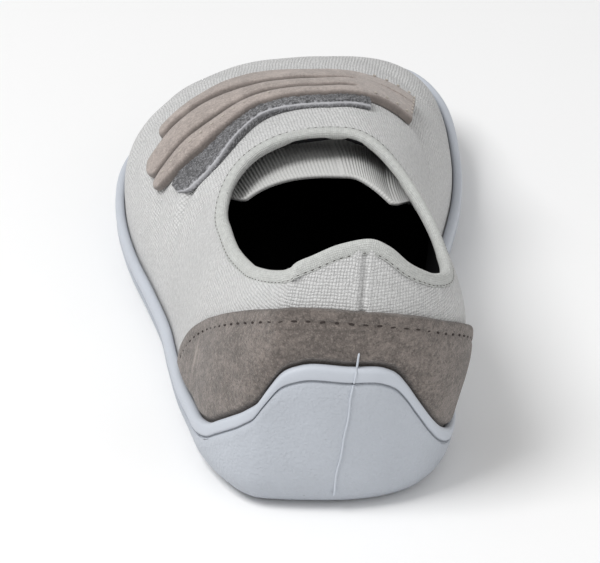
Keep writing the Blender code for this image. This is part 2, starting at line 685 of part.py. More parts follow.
def centre_on_floor(things):
    """Move all the meshes so that the origin is the middle of the shoe's box, on the floor."""
    view = bpy.context.evaluated_depsgraph_get()
    corners = []
    for thing in things:
        mesh = thing.evaluated_get(view).to_mesh()
        places = np.empty(len(mesh.vertices) * 3)
        mesh.vertices.foreach_get("co", places)
        places = places.reshape(-1, 3)
        corners += [places.min(axis=0), places.max(axis=0)]
        thing.evaluated_get(view).to_mesh_clear()
    low, high = np.min(corners, axis=0), np.max(corners, axis=0)
    shift = ((low + high) / 2 * (1, 1, 0)) + low * (0, 0, 1)
    for thing in bpy.data.objects:
        thing.data.transform(Matrix.Translation(-Vector(shift)))


def main():
    for thing in list(bpy.data.objects):
        bpy.data.objects.remove(thing, do_unlink=True)
    shoe = new_collection("barefoot_shoe")
    cutters = new_collection("cutters")
    rubber = material("sole_rubber", (0.62, 0.66, 0.73), 0.55)
    canvas = material("canvas", (0.62, 0.62, 0.61), 0.9)
    counter_suede = material("counter_suede", (0.20, 0.17, 0.155), 0.95)
    strap_suede = material("strap_suede", (0.42, 0.37, 0.34), 0.95)
    pile = material("loop_pile", (0.10, 0.10, 0.11), 1.0)
    elastic = material("elastic", (0.66, 0.66, 0.65), 0.85)
    lining = material("lining", (0.02, 0.02, 0.02), 0.9)

    sole = outsole(shoe, rubber)
    cut(sole, track_cutter("front_track", cutters, FRONT_TRACK))
    cut(sole, track_cutter("heel_track", cutters, HEEL_TRACK))
    for number, row in enumerate(DENTS, start=1):
        cut(sole, dent_cutter(f"toe_dent_{number}", cutters, row))
    pieces = [
        sole,
        upper(shoe, canvas),
        insole(shoe, lining),
        heel_counter(shoe, counter_suede),
        collar_binding(shoe, canvas),
        elastic_tongue(shoe, elastic),
        loop_pad(shoe, pile),
        strap(shoe, strap_suede),
    ]
    centre_on_floor(pieces)


main()
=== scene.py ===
"""Looks of a child's left barefoot shoe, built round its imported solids.

The shoe's surfaces come from one last: a point is given by its station, from -1 at the toe round
the outer side to 0 at the heel and 1 at the toe again, and by its turn up the cross section.
+Y runs from heel to toe, +X to the inner side of the foot, +Z up, all in metres.
"""

import math

import bmesh
import bpy
import numpy as np
from bpy.props import FloatProperty, FloatVectorProperty, PointerProperty
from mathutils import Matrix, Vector


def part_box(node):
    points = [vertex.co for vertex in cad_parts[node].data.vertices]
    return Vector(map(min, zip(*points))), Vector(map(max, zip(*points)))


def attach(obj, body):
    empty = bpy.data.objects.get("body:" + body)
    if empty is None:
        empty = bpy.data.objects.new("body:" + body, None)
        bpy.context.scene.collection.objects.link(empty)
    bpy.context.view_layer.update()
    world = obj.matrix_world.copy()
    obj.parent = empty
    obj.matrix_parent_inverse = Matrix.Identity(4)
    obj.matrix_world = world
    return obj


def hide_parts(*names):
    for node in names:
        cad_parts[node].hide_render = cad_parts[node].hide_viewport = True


bl_info = {
    "name": "Barefoot shoe",
    "version": (1, 0, 0),
    "blender": (4, 5, 0),
    "location": "3D View > Sidebar > Shoe",
    "description": "Builds the surfaces and finishes of a child's canvas barefoot shoe",
    "category": "Add Mesh",
}

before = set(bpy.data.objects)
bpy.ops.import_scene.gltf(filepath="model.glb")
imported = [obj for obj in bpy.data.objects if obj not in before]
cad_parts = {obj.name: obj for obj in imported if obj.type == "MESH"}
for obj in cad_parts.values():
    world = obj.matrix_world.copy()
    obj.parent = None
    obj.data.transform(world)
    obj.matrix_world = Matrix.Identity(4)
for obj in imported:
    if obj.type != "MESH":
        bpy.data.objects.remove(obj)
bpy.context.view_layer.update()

# Where the heel's middle line lies across the shoe's box, and the depth of the sole's half length
HEEL_ACROSS = 0.01102
HEEL_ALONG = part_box("outsole")[0].y

# Driving dimensions, in metres
SOLE_LENGTH = 0.208
BALL_WIDTH = 0.0943
INSTEP_HEIGHT = 0.058
HEEL_HEIGHT = 0.070
RIM_HEIGHT = 0.014
WRAP_HEIGHT = 0.0405
TOE_SPRING = 0.007
SOLE_FLOOR = 0.005
RIM_WALL = 0.0022
EDGE_ROUND = 0.008
LIP_BAND = 0.004
LIP_STEP = 0.0006
UPPER_WALL = 0.0018
INSOLE_THICKNESS = 0.003
COUNTER_THICKNESS = 0.0013
BINDING_THICKNESS = 0.0008
BINDING_SLACK = 0.0013
TONGUE_THICKNESS = 0.0012
TONGUE_DROP = 0.0022
STRAP_THICKNESS = 0.0022
PAD_THICKNESS = 0.0016
TRACK_WIDTH = SOLE_LENGTH * 0.0202
TRACK_PITCH = SOLE_LENGTH * 0.026
TREAD_SPREAD = 0.4534
TRACK_DEPTH = 0.0014
TOE_DENT_DEPTH = 0.0016
GAP = 0.0003
STITCH_INSET = 0.003
# Where the canvas's back seam stands, as a station
SEAM_STATION = 0.0196
# How far a finger's tip is rounded, and how far the tongue goes on past its table, in degrees
TIP_ROUND = 5.0
TONGUE_TAIL = 10.0

# The foot's lean to its inner side, as a slope, and where it fades out along the sole
LEAN_SLOPE = 0.12
LEAN_FULL = 0.10
LEAN_GONE = 0.53
# Where the toe spring starts, and the two ends of the crown's ridge, along the sole
SPRING_START = 0.72
RIDGE_REAR = 0.216
RIDGE_FRONT = 0.793
# Height of the upper's lower edge, just clear of the cup's floor
FEATHER_HEIGHT = SOLE_FLOOR + GAP
# Fall of the crown over the toes, as a slope
TOE_SLOPE = 0.37
# Fullness of the last's cross section: 2 is an ellipse, more is squarer
FULLNESS = 2.5


def columns(names, rows):
    """A table's columns by name."""
    return dict(zip(names.split(), np.array(rows, float).T))


# Sole outline. A station runs from -1 at the toe round the outer side to 0 at the heel, and
# round the inner side to 1 at the toe. Across is a share of the ball width, + to the inner side
OUTLINE = columns("station across", (
    (-1.00, 0.068), (-0.97, -0.012), (-0.94, -0.105), (-0.91, -0.202), (-0.88, -0.280),
    (-0.84, -0.375), (-0.80, -0.456), (-0.75, -0.535), (-0.70, -0.600), (-0.65, -0.636),
    (-0.60, -0.638), (-0.55, -0.616), (-0.50, -0.572), (-0.45, -0.510), (-0.40, -0.457),
    (-0.35, -0.425), (-0.30, -0.392), (-0.25, -0.354), (-0.20, -0.321), (-0.16, -0.283),
    (-0.12, -0.242), (-0.09, -0.213), (-0.06, -0.181), (-0.03, -0.142), (0.00, -0.045),
    (0.03, 0.072), (0.06, 0.150), (0.09, 0.213), (0.12, 0.265), (0.16, 0.312),
    (0.20, 0.343), (0.25, 0.354), (0.30, 0.344), (0.35, 0.330), (0.40, 0.315),
    (0.45, 0.304), (0.50, 0.313), (0.55, 0.338), (0.60, 0.357), (0.65, 0.362),
    (0.70, 0.354), (0.75, 0.340), (0.80, 0.316), (0.84, 0.286), (0.88, 0.247),
    (0.91, 0.211), (0.94, 0.163), (0.97, 0.117), (1.00, 0.068),
))
# Height of the sole's rim: side is a share of the rim height, and wrap goes from 0, the side's
# height, to 1, the heel wrap's height
RIM = columns("station side wrap", (
    (-1.000, 1.12, 0.0), (-0.800, 1.05, 0.0), (-0.600, 1.00, 0.0), (-0.500, 0.90, 0.0),
    (-0.440, 0.78, 0.0), (-0.350, 0.76, 0.0), (-0.255, 0.76, 0.03), (-0.207, 0.75, 0.09),
    (-0.170, 0.75, 0.18), (-0.150, 0.75, 0.27), (-0.123, 0.75, 0.38), (-0.081, 0.75, 0.53),
    (-0.051, 0.75, 0.66), (-0.034, 0.75, 0.80), (-0.022, 0.75, 0.94), (-0.010, 0.75, 1.0),
    (0.025, 0.75, 1.0), (0.059, 0.75, 0.97), (0.076, 0.75, 0.90), (0.090, 0.75, 0.79),
    (0.105, 0.75, 0.65), (0.130, 0.75, 0.44), (0.155, 0.75, 0.28), (0.180, 0.76, 0.16),
    (0.210, 0.78, 0.06), (0.250, 0.80, 0.0), (0.350, 0.80, 0.0), (0.500, 0.88, 0.0),
    (0.700, 1.00, 0.0), (1.000, 1.12, 0.0),
))
# The last above the sole: crown is a share of the instep height, bulge of the ball width
LAST = columns("station crown bulge", (
    (-1.00, 0.690, 0.000), (-0.80, 0.690, 0.004), (-0.70, 0.690, 0.010), (-0.65, 0.770, 0.014),
    (-0.60, 0.870, 0.016), (-0.55, 0.950, 0.018), (-0.50, 0.985, 0.018), (-0.45, 1.005, 0.012),
    (-0.40, 1.040, 0.008), (-0.35, 1.060, 0.005), (-0.30, 1.085, 0.004), (-0.25, 1.125, 0.006),
    (-0.20, 1.180, 0.010), (-0.16, 1.250, 0.011), (-0.12, 1.340, 0.010), (-0.08, 1.460, 0.008),
    (-0.04, 1.610, 0.006), (0.03, 1.740, 0.006), (0.08, 1.620, 0.007), (0.12, 1.470, 0.010),
    (0.16, 1.340, 0.018), (0.20, 1.240, 0.030), (0.25, 1.150, 0.046), (0.30, 1.100, 0.056),
    (0.35, 1.070, 0.054), (0.40, 1.040, 0.044), (0.45, 1.005, 0.032), (0.50, 0.985, 0.022),
    (0.55, 0.950, 0.012), (0.60, 0.870, 0.008), (0.65, 0.770, 0.006), (0.70, 0.690, 0.004),
    (0.80, 0.690, 0.002), (1.00, 0.690, 0.000),
))
# Line of the crown's ridge: both are shares, of the sole's length and of the ball width
RIDGE = columns("along across", (
    (0.00, 0.032), (0.216, 0.032), (0.45, 0.020), (0.60, -0.050), (0.72, -0.075), (1.00, -0.085),
))
# Collar height behind the throat, as a share of the heel height
COLLAR = columns("station height", (
    (-0.36, 0.684), (-0.32, 0.692), (-0.28, 0.707), (-0.227, 0.740), (-0.18, 0.779),
    (-0.117, 0.834), (-0.049, 0.899), (-0.02, 0.940), (0.005, 0.990), (0.03, 1.010),
    (0.05, 0.985), (0.085, 0.910), (0.13, 0.842), (0.19, 0.779), (0.24, 0.740),
    (0.29, 0.707), (0.33, 0.692), (0.36, 0.684),
))
THROAT_START = 0.36
THROAT_END = 0.46
# Top edge of the heel counter, as a share of the heel height; it runs down to the rim at both ends
COUNTER = columns("station height", (
    (-0.326, 0.15), (-0.322, 0.22), (-0.312, 0.30), (-0.300, 0.36), (-0.285, 0.42),
    (-0.265, 0.48), (-0.225, 0.565), (-0.186, 0.63), (-0.14, 0.690), (-0.099, 0.730),
    (-0.05, 0.765), (-0.012, 0.783), (0.029, 0.776), (0.082, 0.743), (0.154, 0.665),
    (0.220, 0.570), (0.250, 0.51), (0.275, 0.43), (0.295, 0.33), (0.305, 0.25), (0.309, 0.17),
))
# Loop pad: sweep is the turn round the section in degrees, 0 at the outer feather, 90 at the
# ridge, 180 at the inner feather; rear and front are the stations of its two edges
PAD = columns("sweep rear front", (
    (36, 0.451, 0.462), (39, 0.441, 0.466), (45, 0.437, 0.467), (52, 0.441, 0.469),
    (65, 0.467, 0.489), (75, 0.490, 0.508), (90, 0.507, 0.523), (108, 0.518, 0.533),
))
# Strap: the stations of its rear edge, of the slots between its fingers and of its front edge
STRAP = columns("sweep rear slot_2_3 slot_1_2 front", (
    (28, 0.477, 0.490, 0.515, 0.533), (38, 0.472, 0.491, 0.523, 0.543),
    (48, 0.473, 0.499, 0.534, 0.554), (60, 0.484, 0.508, 0.545, 0.569),
    (75, 0.511, 0.530, 0.555, 0.596), (90, 0.527, 0.545, 0.570, 0.610),
    (108, 0.537, 0.556, 0.583, 0.618), (130, 0.545, 0.565, 0.590, 0.618),
))
# Sweep at each finger's tip, from the rear finger to the front one, and where the slots end
FINGER_TIPS = (30.0, 31.0, 41.0)
SLOT_END = 104.0
# Elastic tongue: sweep from the ridge to each side, and its rear edge's station
TONGUE = columns("sweep rear", (
    (50, 0.405), (65, 0.420), (90, 0.432), (115, 0.420), (130, 0.405),
))
TONGUE_FRONT = 0.53
# Tread tracks: the middle of each turn's outer end, as shares of ball width and sole length
FRONT_TRACK = (
    (-0.170, 0.788), (0.138, 0.714), (-0.339, 0.765), (0.196, 0.647), (-0.419, 0.714),
    (0.186, 0.587), (-0.470, 0.656), (0.127, 0.538), (-0.475, 0.596), (0.085, 0.481),
    (-0.424, 0.526), (0.058, 0.421), (-0.382, 0.459), (0.080, 0.365), (-0.339, 0.397),
    (0.111, 0.310), (-0.186, 0.334),
)
HEEL_TRACK = (
    (-0.170, 0.300), (0.186, 0.233), (-0.286, 0.264), (0.207, 0.163), (-0.270, 0.204),
    (0.191, 0.111), (-0.244, 0.151), (0.117, 0.073), (-0.180, 0.089), (-0.030, 0.053),
)
# Toe dents: place, half length and half width as shares, and the turn of the long axis in degrees
DENTS = (
    (0.109, 0.866, 0.0683, 0.1188, 93), (-0.089, 0.879, 0.0457, 0.0615, 101),
    (-0.233, 0.862, 0.0389, 0.0573, 108), (-0.341, 0.824, 0.0409, 0.0541, 113),
    (-0.431, 0.779, 0.0361, 0.0467, 118),
)

def table_value(table, name, at, period=None):
    """Smooth curve through one column of a table, by cubic pieces with mean slopes at the rows."""
    x, y = next(iter(table.values())), table[name]
    if period:
        x = np.concatenate([x[-3:-1] - period, x, x[1:3] + period])
        y = np.concatenate([y[-3:-1], y, y[1:3]])
    slope = np.gradient(y, x)
    at = np.clip(np.asarray(at, float), x[0], x[-1])
    i = np.clip(np.searchsorted(x, at, side="right") - 1, 0, len(x) - 2)
    step = x[i + 1] - x[i]
    t = (at - x[i]) / step
    rise = (3 - 2 * t) * t * t
    return (y[i] * (1 - rise) + y[i + 1] * rise
            + step * t * (1 - t) * ((1 - t) * slope[i] - t * slope[i + 1]))


def ease(value):
    """Smooth step from 0 to 1."""
    value = np.clip(value, 0.0, 1.0)
    return value * value * (3 - 2 * value)


def unit(vectors):
    """Vectors of length one."""
    return vectors / np.linalg.norm(vectors, axis=-1, keepdims=True)


def bell(away, width):
    """Bell curve, 1 at its middle."""
    return np.exp(-(away / width) ** 2)


def outline(station):
    """Plan of the sole's outer edge: length by a cosine, so that both ends are round."""
    along = SOLE_LENGTH * (1 - np.cos(math.pi * station)) / 2
    across = BALL_WIDTH * table_value(OUTLINE, "across", station, period=2.0)
    return np.stack([across, along], axis=-1)


def outward(station):
    """Plan normal of the outline, pointing out of the shoe."""
    tiny = 0.004
    station = np.asarray(station)
    tangent = unit(outline(station + tiny) - outline(station - tiny))
    return np.stack([tangent[..., 1], -tangent[..., 0]], axis=-1)


def rim_height(station):
    """Height of the sole's rim, with the raised wrap at the heel."""
    side = table_value(RIM, "side", station)
    wrap = table_value(RIM, "wrap", station)
    return RIM_HEIGHT * side * (1 - wrap) + WRAP_HEIGHT * wrap


# Station at which the ridge's front end lies
RIDGE_STATION = math.acos(1 - 2 * RIDGE_FRONT) / math.pi


def crown_height(station):
    """Height that the last's cross section would close at, one height round the ridge's front."""
    return INSTEP_HEIGHT * table_value(LAST, "crown",
                                       np.clip(station, -RIDGE_STATION, RIDGE_STATION))


def toe_fall(along):
    """How far the crown has come down ahead of the ridge's front end."""
    return TOE_SLOPE * np.maximum(along - SOLE_LENGTH * RIDGE_FRONT, 0)


def last_point(station, turn, out=0.0):
    """A point of the upper's outer face, out metres outside it along the plan normal.

    The section is a superellipse from the feather edge, turn 0, to the ridge, turn pi/2.
    """
    station = np.asarray(station, float)
    turn = np.asarray(turn, float)
    normal = outward(station)
    base = outline(station) - normal * (RIM_WALL + GAP)
    along = np.clip(outline(station)[..., 1] / SOLE_LENGTH, RIDGE_REAR, RIDGE_FRONT)
    ridge = np.stack([BALL_WIDTH * table_value(RIDGE, "across", along), SOLE_LENGTH * along],
                     axis=-1)
    share = 1 - np.cos(np.minimum(turn, math.pi / 2)).clip(0, 1) ** (2 / FULLNESS)
    rise = np.sin(turn) ** (2 / FULLNESS)
    swell = BALL_WIDTH * table_value(LAST, "bulge", station) * (4 * rise * (1 - rise)) ** 2
    plan = base + (ridge - base) * share[..., None] + normal * (swell + out)[..., None]
    crown = crown_height(station) - toe_fall(plan[..., 1])
    height = FEATHER_HEIGHT + (crown - FEATHER_HEIGHT) * rise
    return np.concatenate([plan, height[..., None]], axis=-1)


def turn_at(station, height):
    """The turn at which the last's section reaches a height, found in a few steps at the toe."""
    along = outline(station)[..., 1]
    for _ in range(6):
        crown = crown_height(station) - toe_fall(along)
        rise = (height - FEATHER_HEIGHT) / (crown - FEATHER_HEIGHT)
        turn = np.arcsin(np.clip(rise, 0, 1) ** (FULLNESS / 2))
        along = last_point(station, turn)[..., 1]
    return turn


def last_normal(station, turn):
    """Outward normal of the last's surface, from small steps both ways."""
    small = 1e-3
    low = np.clip(turn, 0.02, math.pi / 2 - 0.02)
    along = last_point(station + small, low) - last_point(station - small, low)
    up = last_point(station, low + small) - last_point(station, low - small)
    return unit(np.cross(along, up))


def collar_turn(station):
    """Turn of the collar's edge: by height behind the throat, then a half ellipse to the ridge."""
    station = np.asarray(station, float)
    side = np.abs(station)
    height = HEEL_HEIGHT * table_value(COLLAR, "height",
                                       np.clip(station, -THROAT_START, THROAT_START))
    turn = turn_at(station, height)
    start = np.sign(station) * THROAT_START
    start_turn = turn_at(start, HEEL_HEIGHT * table_value(COLLAR, "height", start))
    start_share = 1 - np.cos(start_turn) ** (2 / FULLNESS)
    reach = np.clip((side - THROAT_START) / (THROAT_END - THROAT_START), 0, 1)
    share = 1 - (1 - start_share) * np.sqrt(1 - reach ** 2)
    throat = np.arccos(np.clip(1 - share, 0, 1) ** (FULLNESS / 2))
    return np.where(side > THROAT_START, throat, turn)


def settle(points):
    """Last frame to shoe: the lean to the inner side at the heel, and the toe spring."""
    points = np.array(points, float)
    x, y, z = points[..., 0], points[..., 1], points[..., 2]
    knee = EDGE_ROUND
    lean = LEAN_SLOPE * (np.sqrt(np.maximum(z, 0) ** 2 + knee ** 2) - knee)
    fade = 1 - ease((y / SOLE_LENGTH - LEAN_FULL) / (LEAN_GONE - LEAN_FULL))
    toe = np.clip((y / SOLE_LENGTH - SPRING_START) / (1 - SPRING_START), 0, None)
    return np.stack([x + lean * fade, y, z + TOE_SPRING * toe ** 2], axis=-1)

# Meshes

# Rings along a stitch or fibre, and corners round each ring
BEAD_SHAPE = (5, 6)


def place(points):
    """Last frame to the shoe's box: settled, then moved so that the box's middle is the origin."""
    points = settle(points)
    points[..., 0] += HEEL_ACROSS
    points[..., 1] += HEEL_ALONG
    return points


def surface(station, turn, distance=0.0):
    """Placed points of the last's surface, moved along its normal by a distance."""
    station, turn = np.broadcast_arrays(np.asarray(station, float), np.asarray(turn, float))
    distance = np.broadcast_to(np.asarray(distance, float), station.shape)
    return place(last_point(station, turn) + last_normal(station, turn) * distance[..., None])


def over_crown(station, sweep, distance=0.0):
    """Placed points over the crown: sweep 0 at the outer feather, 90 at the ridge, 180 inside."""
    inner = sweep > 90
    side = np.where(inner, station, -station)
    turn = np.radians(np.where(inner, 180 - sweep, sweep))
    return surface(side, turn, distance)


def grid_quads(rows, columns, closed=False, start=0):
    """Corner indices of a grid stored row by row, each row closed on itself or open."""
    i = np.arange(rows - 1)[:, None]
    j = np.arange(columns if closed else columns - 1)[None, :]
    a, b = i * columns, (i + 1) * columns
    c, d = j, (j + 1) % columns
    return start + np.stack([a + c, b + c, b + d, a + d], axis=-1).reshape(-1, 4)


def make_piece(name, points, quads, finishing, slot, node=None, uv=None, solid=True, **fields):
    """A mesh object from arrays: doubles merged, faces turned outwards, riding on the shoe.

    Fields are values at the points, kept as attributes that the finishes read.
    """
    points = np.asarray(points, float).reshape(-1, 3)
    quads = np.asarray(quads, np.int32).reshape(-1, 4)
    mesh = bpy.data.meshes.new(name)
    mesh.vertices.add(len(points))
    mesh.vertices.foreach_set("co", points.ravel())
    mesh.loops.add(quads.size)
    mesh.loops.foreach_set("vertex_index", quads.ravel())
    mesh.polygons.add(len(quads))
    mesh.polygons.foreach_set("loop_start", np.arange(0, quads.size, 4, dtype=np.int32))
    mesh.update(calc_edges=True)
    if uv is not None:
        layer = mesh.uv_layers.new(name="cloth")
        flat = np.asarray(uv, float).reshape(-1, 2)[quads.ravel()]
        layer.data.foreach_set("uv", flat.ravel())
    for key, values in fields.items():
        layer = mesh.attributes.new(key, "FLOAT", "POINT")
        layer.data.foreach_set("value", np.asarray(values, np.float32).ravel())
    body = bmesh.new()
    body.from_mesh(mesh)
    bmesh.ops.remove_doubles(body, verts=body.verts, dist=2e-6)
    if solid:
        bmesh.ops.recalc_face_normals(body, faces=body.faces)
    body.to_mesh(mesh)
    body.free()
    mesh.shade_smooth()
    piece = bpy.data.objects.new(name, mesh)
    bpy.context.scene.collection.objects.link(piece)
    mesh.materials.append(finishing)
    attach(piece, "root")
    if node:
        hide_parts(node)
    return piece


def slab(top, under):
    """Points and quads of a closed sheet: top grid, under grid and the wall between their rims."""
    count = top[..., 0].size
    quads = grid_quads(*top.shape[:2])
    index = np.arange(count).reshape(top.shape[:2])
    rim = np.concatenate([index[:, 0], index[-1, 1:], index[-2::-1, -1], index[0, -2::-1]])
    wall = np.stack([rim[:-1], rim[:-1] + count, rim[1:] + count, rim[1:]], axis=1)
    points = np.concatenate([top.reshape(-1, 3), under.reshape(-1, 3)])
    return points, np.concatenate([quads, quads[:, ::-1] + count, wall])


def both_sides(values):
    """Values of a slab's top grid, given to its under grid too."""
    return np.concatenate([values.ravel(), values.ravel()])


def repeated(values, count):
    """A grid with the same value all along each row."""
    return np.repeat(values[:, None], count, axis=1)


def rounded(inwards, radius):
    """Height of a rounded edge as a share, a quarter circle over the radius."""
    return np.sqrt(1 - (1 - np.clip(inwards / radius, 0, 1)) ** 2)


def soft_noise(points, size, seed=0):
    """Value noise from -1 to 1: hashed lattice values, blended smoothly between eight corners."""
    p = np.asarray(points, float) / size + 100 + seed * 7.31
    cell = np.floor(p).astype(np.int64)
    f = p - cell
    f = f * f * (3 - 2 * f)
    total = np.zeros(p.shape[:-1])
    for corner in np.ndindex(2, 2, 2):
        x, y, z = (cell[..., k] + corner[k] for k in range(3))
        h = (x * 374761393 + y * 668265263 + z * 2147483647 + seed * 974711) & 0xFFFFFFFF
        h = ((h ^ (h >> 13)) * 1274126177) & 0xFFFFFFFF
        value = ((h ^ (h >> 16)) & 0xFFFF) / 32767.5 - 1
        near = [f[..., k] if corner[k] else 1 - f[..., k] for k in range(3)]
        total += value * (near[0] * near[1] * near[2])
    return total


def unevenness(points, waves):
    """Sum of soft noises, each given by its depth, its size and its seed."""
    return sum(depth * soft_noise(points, size, seed) for depth, size, seed in waves)


def arc_lengths(line):
    """Running length along a line of points."""
    steps = np.linalg.norm(np.diff(line, axis=0), axis=1)
    return np.concatenate([[0.0], np.cumsum(steps)])


def at_lengths(values, run, at):
    """Values along a line, at given lengths."""
    return np.stack([np.interp(at, run, values[:, k]) for k in range(3)], axis=1)


def along_line(line, normal, at):
    """Points, unit tangents and unit normals at given lengths along a line."""
    run = arc_lengths(line)
    step = 2e-4
    tangent = unit(at_lengths(line, run, at + step) - at_lengths(line, run, at - step))
    up = at_lengths(normal, run, at)
    up -= tangent * np.sum(up * tangent, axis=1, keepdims=True)
    return at_lengths(line, run, at), tangent, unit(up)


def beads(point, tangent, up, length, width, height):
    """Small closed grains, one at each point: ellipsoids long along the tangent.

    Rings at cosine steps along the tangent, six corners round each, all grains at once.
    """
    rings, around = BEAD_SHAPE
    t = np.linspace(0, math.pi, rings)
    a = np.arange(around) * 2 * math.pi / around
    shape = (-np.cos(t)[:, None] + 0 * a, np.sin(t)[:, None] * np.cos(a),
             np.sin(t)[:, None] * np.sin(a))
    axes = (tangent, np.cross(tangent, up), up)
    sizes = (np.broadcast_to(size, len(point)) for size in (length, width, height))
    points = point[:, None, None, :]
    for axis, form, size in zip(axes, shape, sizes):
        half = form[None, :, :, None] * size[:, None, None, None] / 2
        points = points + axis[:, None, None, :] * half
    one = grid_quads(rings, around, closed=True)
    starts = (np.arange(len(point)) * rings * around)[:, None, None]
    return points.reshape(-1, 3), (one[None] + starts).reshape(-1, 4)


def tube(line, radius, around=6):
    """Points and quads of a round cord along a line, its two ends drawn to a point."""
    tangent = unit(np.gradient(line, axis=0))
    aside = unit(np.cross(tangent, np.array([0.31, 0.17, 0.93])))
    over = np.cross(tangent, aside)
    angle = np.arange(around) * 2 * math.pi / around
    size = np.full(len(line), radius)
    size[[0, -1]] = 1e-7
    ring = aside[:, None] * np.cos(angle)[:, None] + over[:, None] * np.sin(angle)[:, None]
    points = line[:, None] + ring * size[:, None, None]
    return points.reshape(-1, 3), grid_quads(len(line), around, closed=True)

# Finishes


def join(tree, value, socket):
    """Links a socket, or sets a value."""
    if isinstance(value, bpy.types.NodeSocket):
        tree.links.new(value, socket)
    else:
        socket.default_value = value


def add(tree, kind, inputs=None, **settings):
    """A node of a kind with its settings and its inputs, given by name or by number."""
    node = tree.nodes.new(kind)
    for key, value in settings.items():
        setattr(node, key, value)
    for key, value in (inputs or {}).items():
        join(tree, value, node.inputs[key])
    return node


def maths(tree, operation, *values):
    """The result of a Math node."""
    return add(tree, "ShaderNodeMath", dict(enumerate(values)), operation=operation).outputs[0]


def ramp(tree, value, low, high, to_low=0.0, to_high=1.0):
    """A smooth step from one range to another."""
    node = add(tree, "ShaderNodeMapRange", {0: value, 1: low, 2: high, 3: to_low, 4: to_high},
               interpolation_type="SMOOTHSTEP")
    return node.outputs[0]


def noise(tree, vector, scale, detail=3.0, roughness=0.55):
    """The value of a Noise Texture."""
    return add(tree, "ShaderNodeTexNoise", {"Vector": vector, "Scale": scale, "Detail": detail,
                                            "Roughness": roughness}).outputs["Fac"]


def times(tree, first, second):
    """The product of two values."""
    return maths(tree, "MULTIPLY", first, second)


def attribute(tree, name):
    """A value kept at the mesh's points."""
    return add(tree, "ShaderNodeAttribute", attribute_name=name).outputs["Fac"]


def mix(tree, share, first, second):
    """A colour mix."""
    return add(tree, "ShaderNodeMix", {0: share, 6: first, 7: second}, data_type="RGBA").outputs[2]


def tint(colour, factor):
    """A colour made darker or lighter."""
    return tuple(min(c * factor, 1.0) for c in colour[:3]) + (1.0,)


def laid_over(tree, under, base, *layers):
    """A colour with layers over it, each a mask, its strength and its factor of the base colour."""
    for mask, strength, factor in layers:
        under = mix(tree, times(tree, mask, strength), under, tint(base, factor))
    return under


def new_group(name, inputs, outputs):
    """An empty shader node group with named inputs and outputs."""
    tree = bpy.data.node_groups.new(name, "ShaderNodeTree")
    for label, kind, default in inputs:
        socket = tree.interface.new_socket(label, in_out="INPUT", socket_type=kind)
        if default is not None:
            socket.default_value = default
    for label, kind in outputs:
        tree.interface.new_socket(label, in_out="OUTPUT", socket_type=kind)
    return tree, tree.nodes.new("NodeGroupInput").outputs, tree.nodes.new("NodeGroupOutput").inputs


def use_group(tree, name, **inputs):
    """Places a node group and returns its outputs."""
    node = tree.nodes.new("ShaderNodeGroup")
    node.node_tree = bpy.data.node_groups[name]
    for key, value in inputs.items():
        join(tree, value, node.inputs[key.replace("_", " ")])
    return node.outputs


def weave_group():
    """Basket weave: two sets of threads that pass over each other in turn.

    Each thread's height is a half round across it times a wave along it; the higher thread wins.
    Noise moves the threads sideways and makes each stretch of a thread thicker or thinner.
    """
    tree, ins, outs = new_group("canvas weave", (
        ("Map", "NodeSocketVector", None), ("Pitch", "NodeSocketFloat", 0.00098),
    ), (("Height", "NodeSocketFloat"), ("Gap", "NodeSocketFloat"), ("Slub", "NodeSocketFloat")))
    wobble = add(tree, "ShaderNodeTexNoise", {"Vector": ins["Map"], "Scale": 330.0, "Detail": 3.0})
    moved = add(tree, "ShaderNodeVectorMath", {0: wobble.outputs["Color"], 1: (0.5, 0.5, 0.5)},
                operation="SUBTRACT").outputs[0]
    moved = add(tree, "ShaderNodeVectorMath", {0: moved, 1: (0.0010, 0.0010, 0.0), 2: ins["Map"]},
                operation="MULTIPLY_ADD").outputs[0]
    inverse = maths(tree, "DIVIDE", 1.0, ins["Pitch"])
    counts = add(tree, "ShaderNodeVectorMath", {0: moved, "Scale": inverse}, operation="SCALE")
    parts = add(tree, "ShaderNodeSeparateXYZ", {0: counts.outputs[0]}).outputs

    def thread(across, along, sign):
        """Height of one set of threads: a half round times a wave."""
        centre = maths(tree, "MULTIPLY_ADD", maths(tree, "FRACT", across), 2.0, -1.0)
        half_round = maths(tree, "SQRT", maths(tree, "SUBTRACT", 1.0,
                                               times(tree, centre, centre)))
        beat = maths(tree, "ADD", along, maths(tree, "FLOOR", across))
        wave = maths(tree, "SINE", times(tree, beat, math.pi))
        lift = maths(tree, "MULTIPLY_ADD", wave, 0.50 * sign, 0.50)
        return times(tree, half_round, lift)

    warp = thread(parts[0], parts[1], 1)
    weft = thread(parts[1], parts[0], -1)
    slub = noise(tree, ins["Map"], 900.0, 4.0, 0.65)
    top = maths(tree, "MAXIMUM", warp, weft)
    uneven = maths(tree, "MULTIPLY", top, maths(tree, "MULTIPLY_ADD", slub, 1.1, 0.45))
    fibre = noise(tree, moved, 3600.0, 3.0, 0.6)
    join(tree, maths(tree, "MULTIPLY_ADD", fibre, 0.28, uneven), outs["Height"])
    join(tree, ramp(tree, uneven, 0.30, 0.80, 1.0, 0.0), outs["Gap"])
    join(tree, ramp(tree, slub, 0.35, 0.68), outs["Slub"])


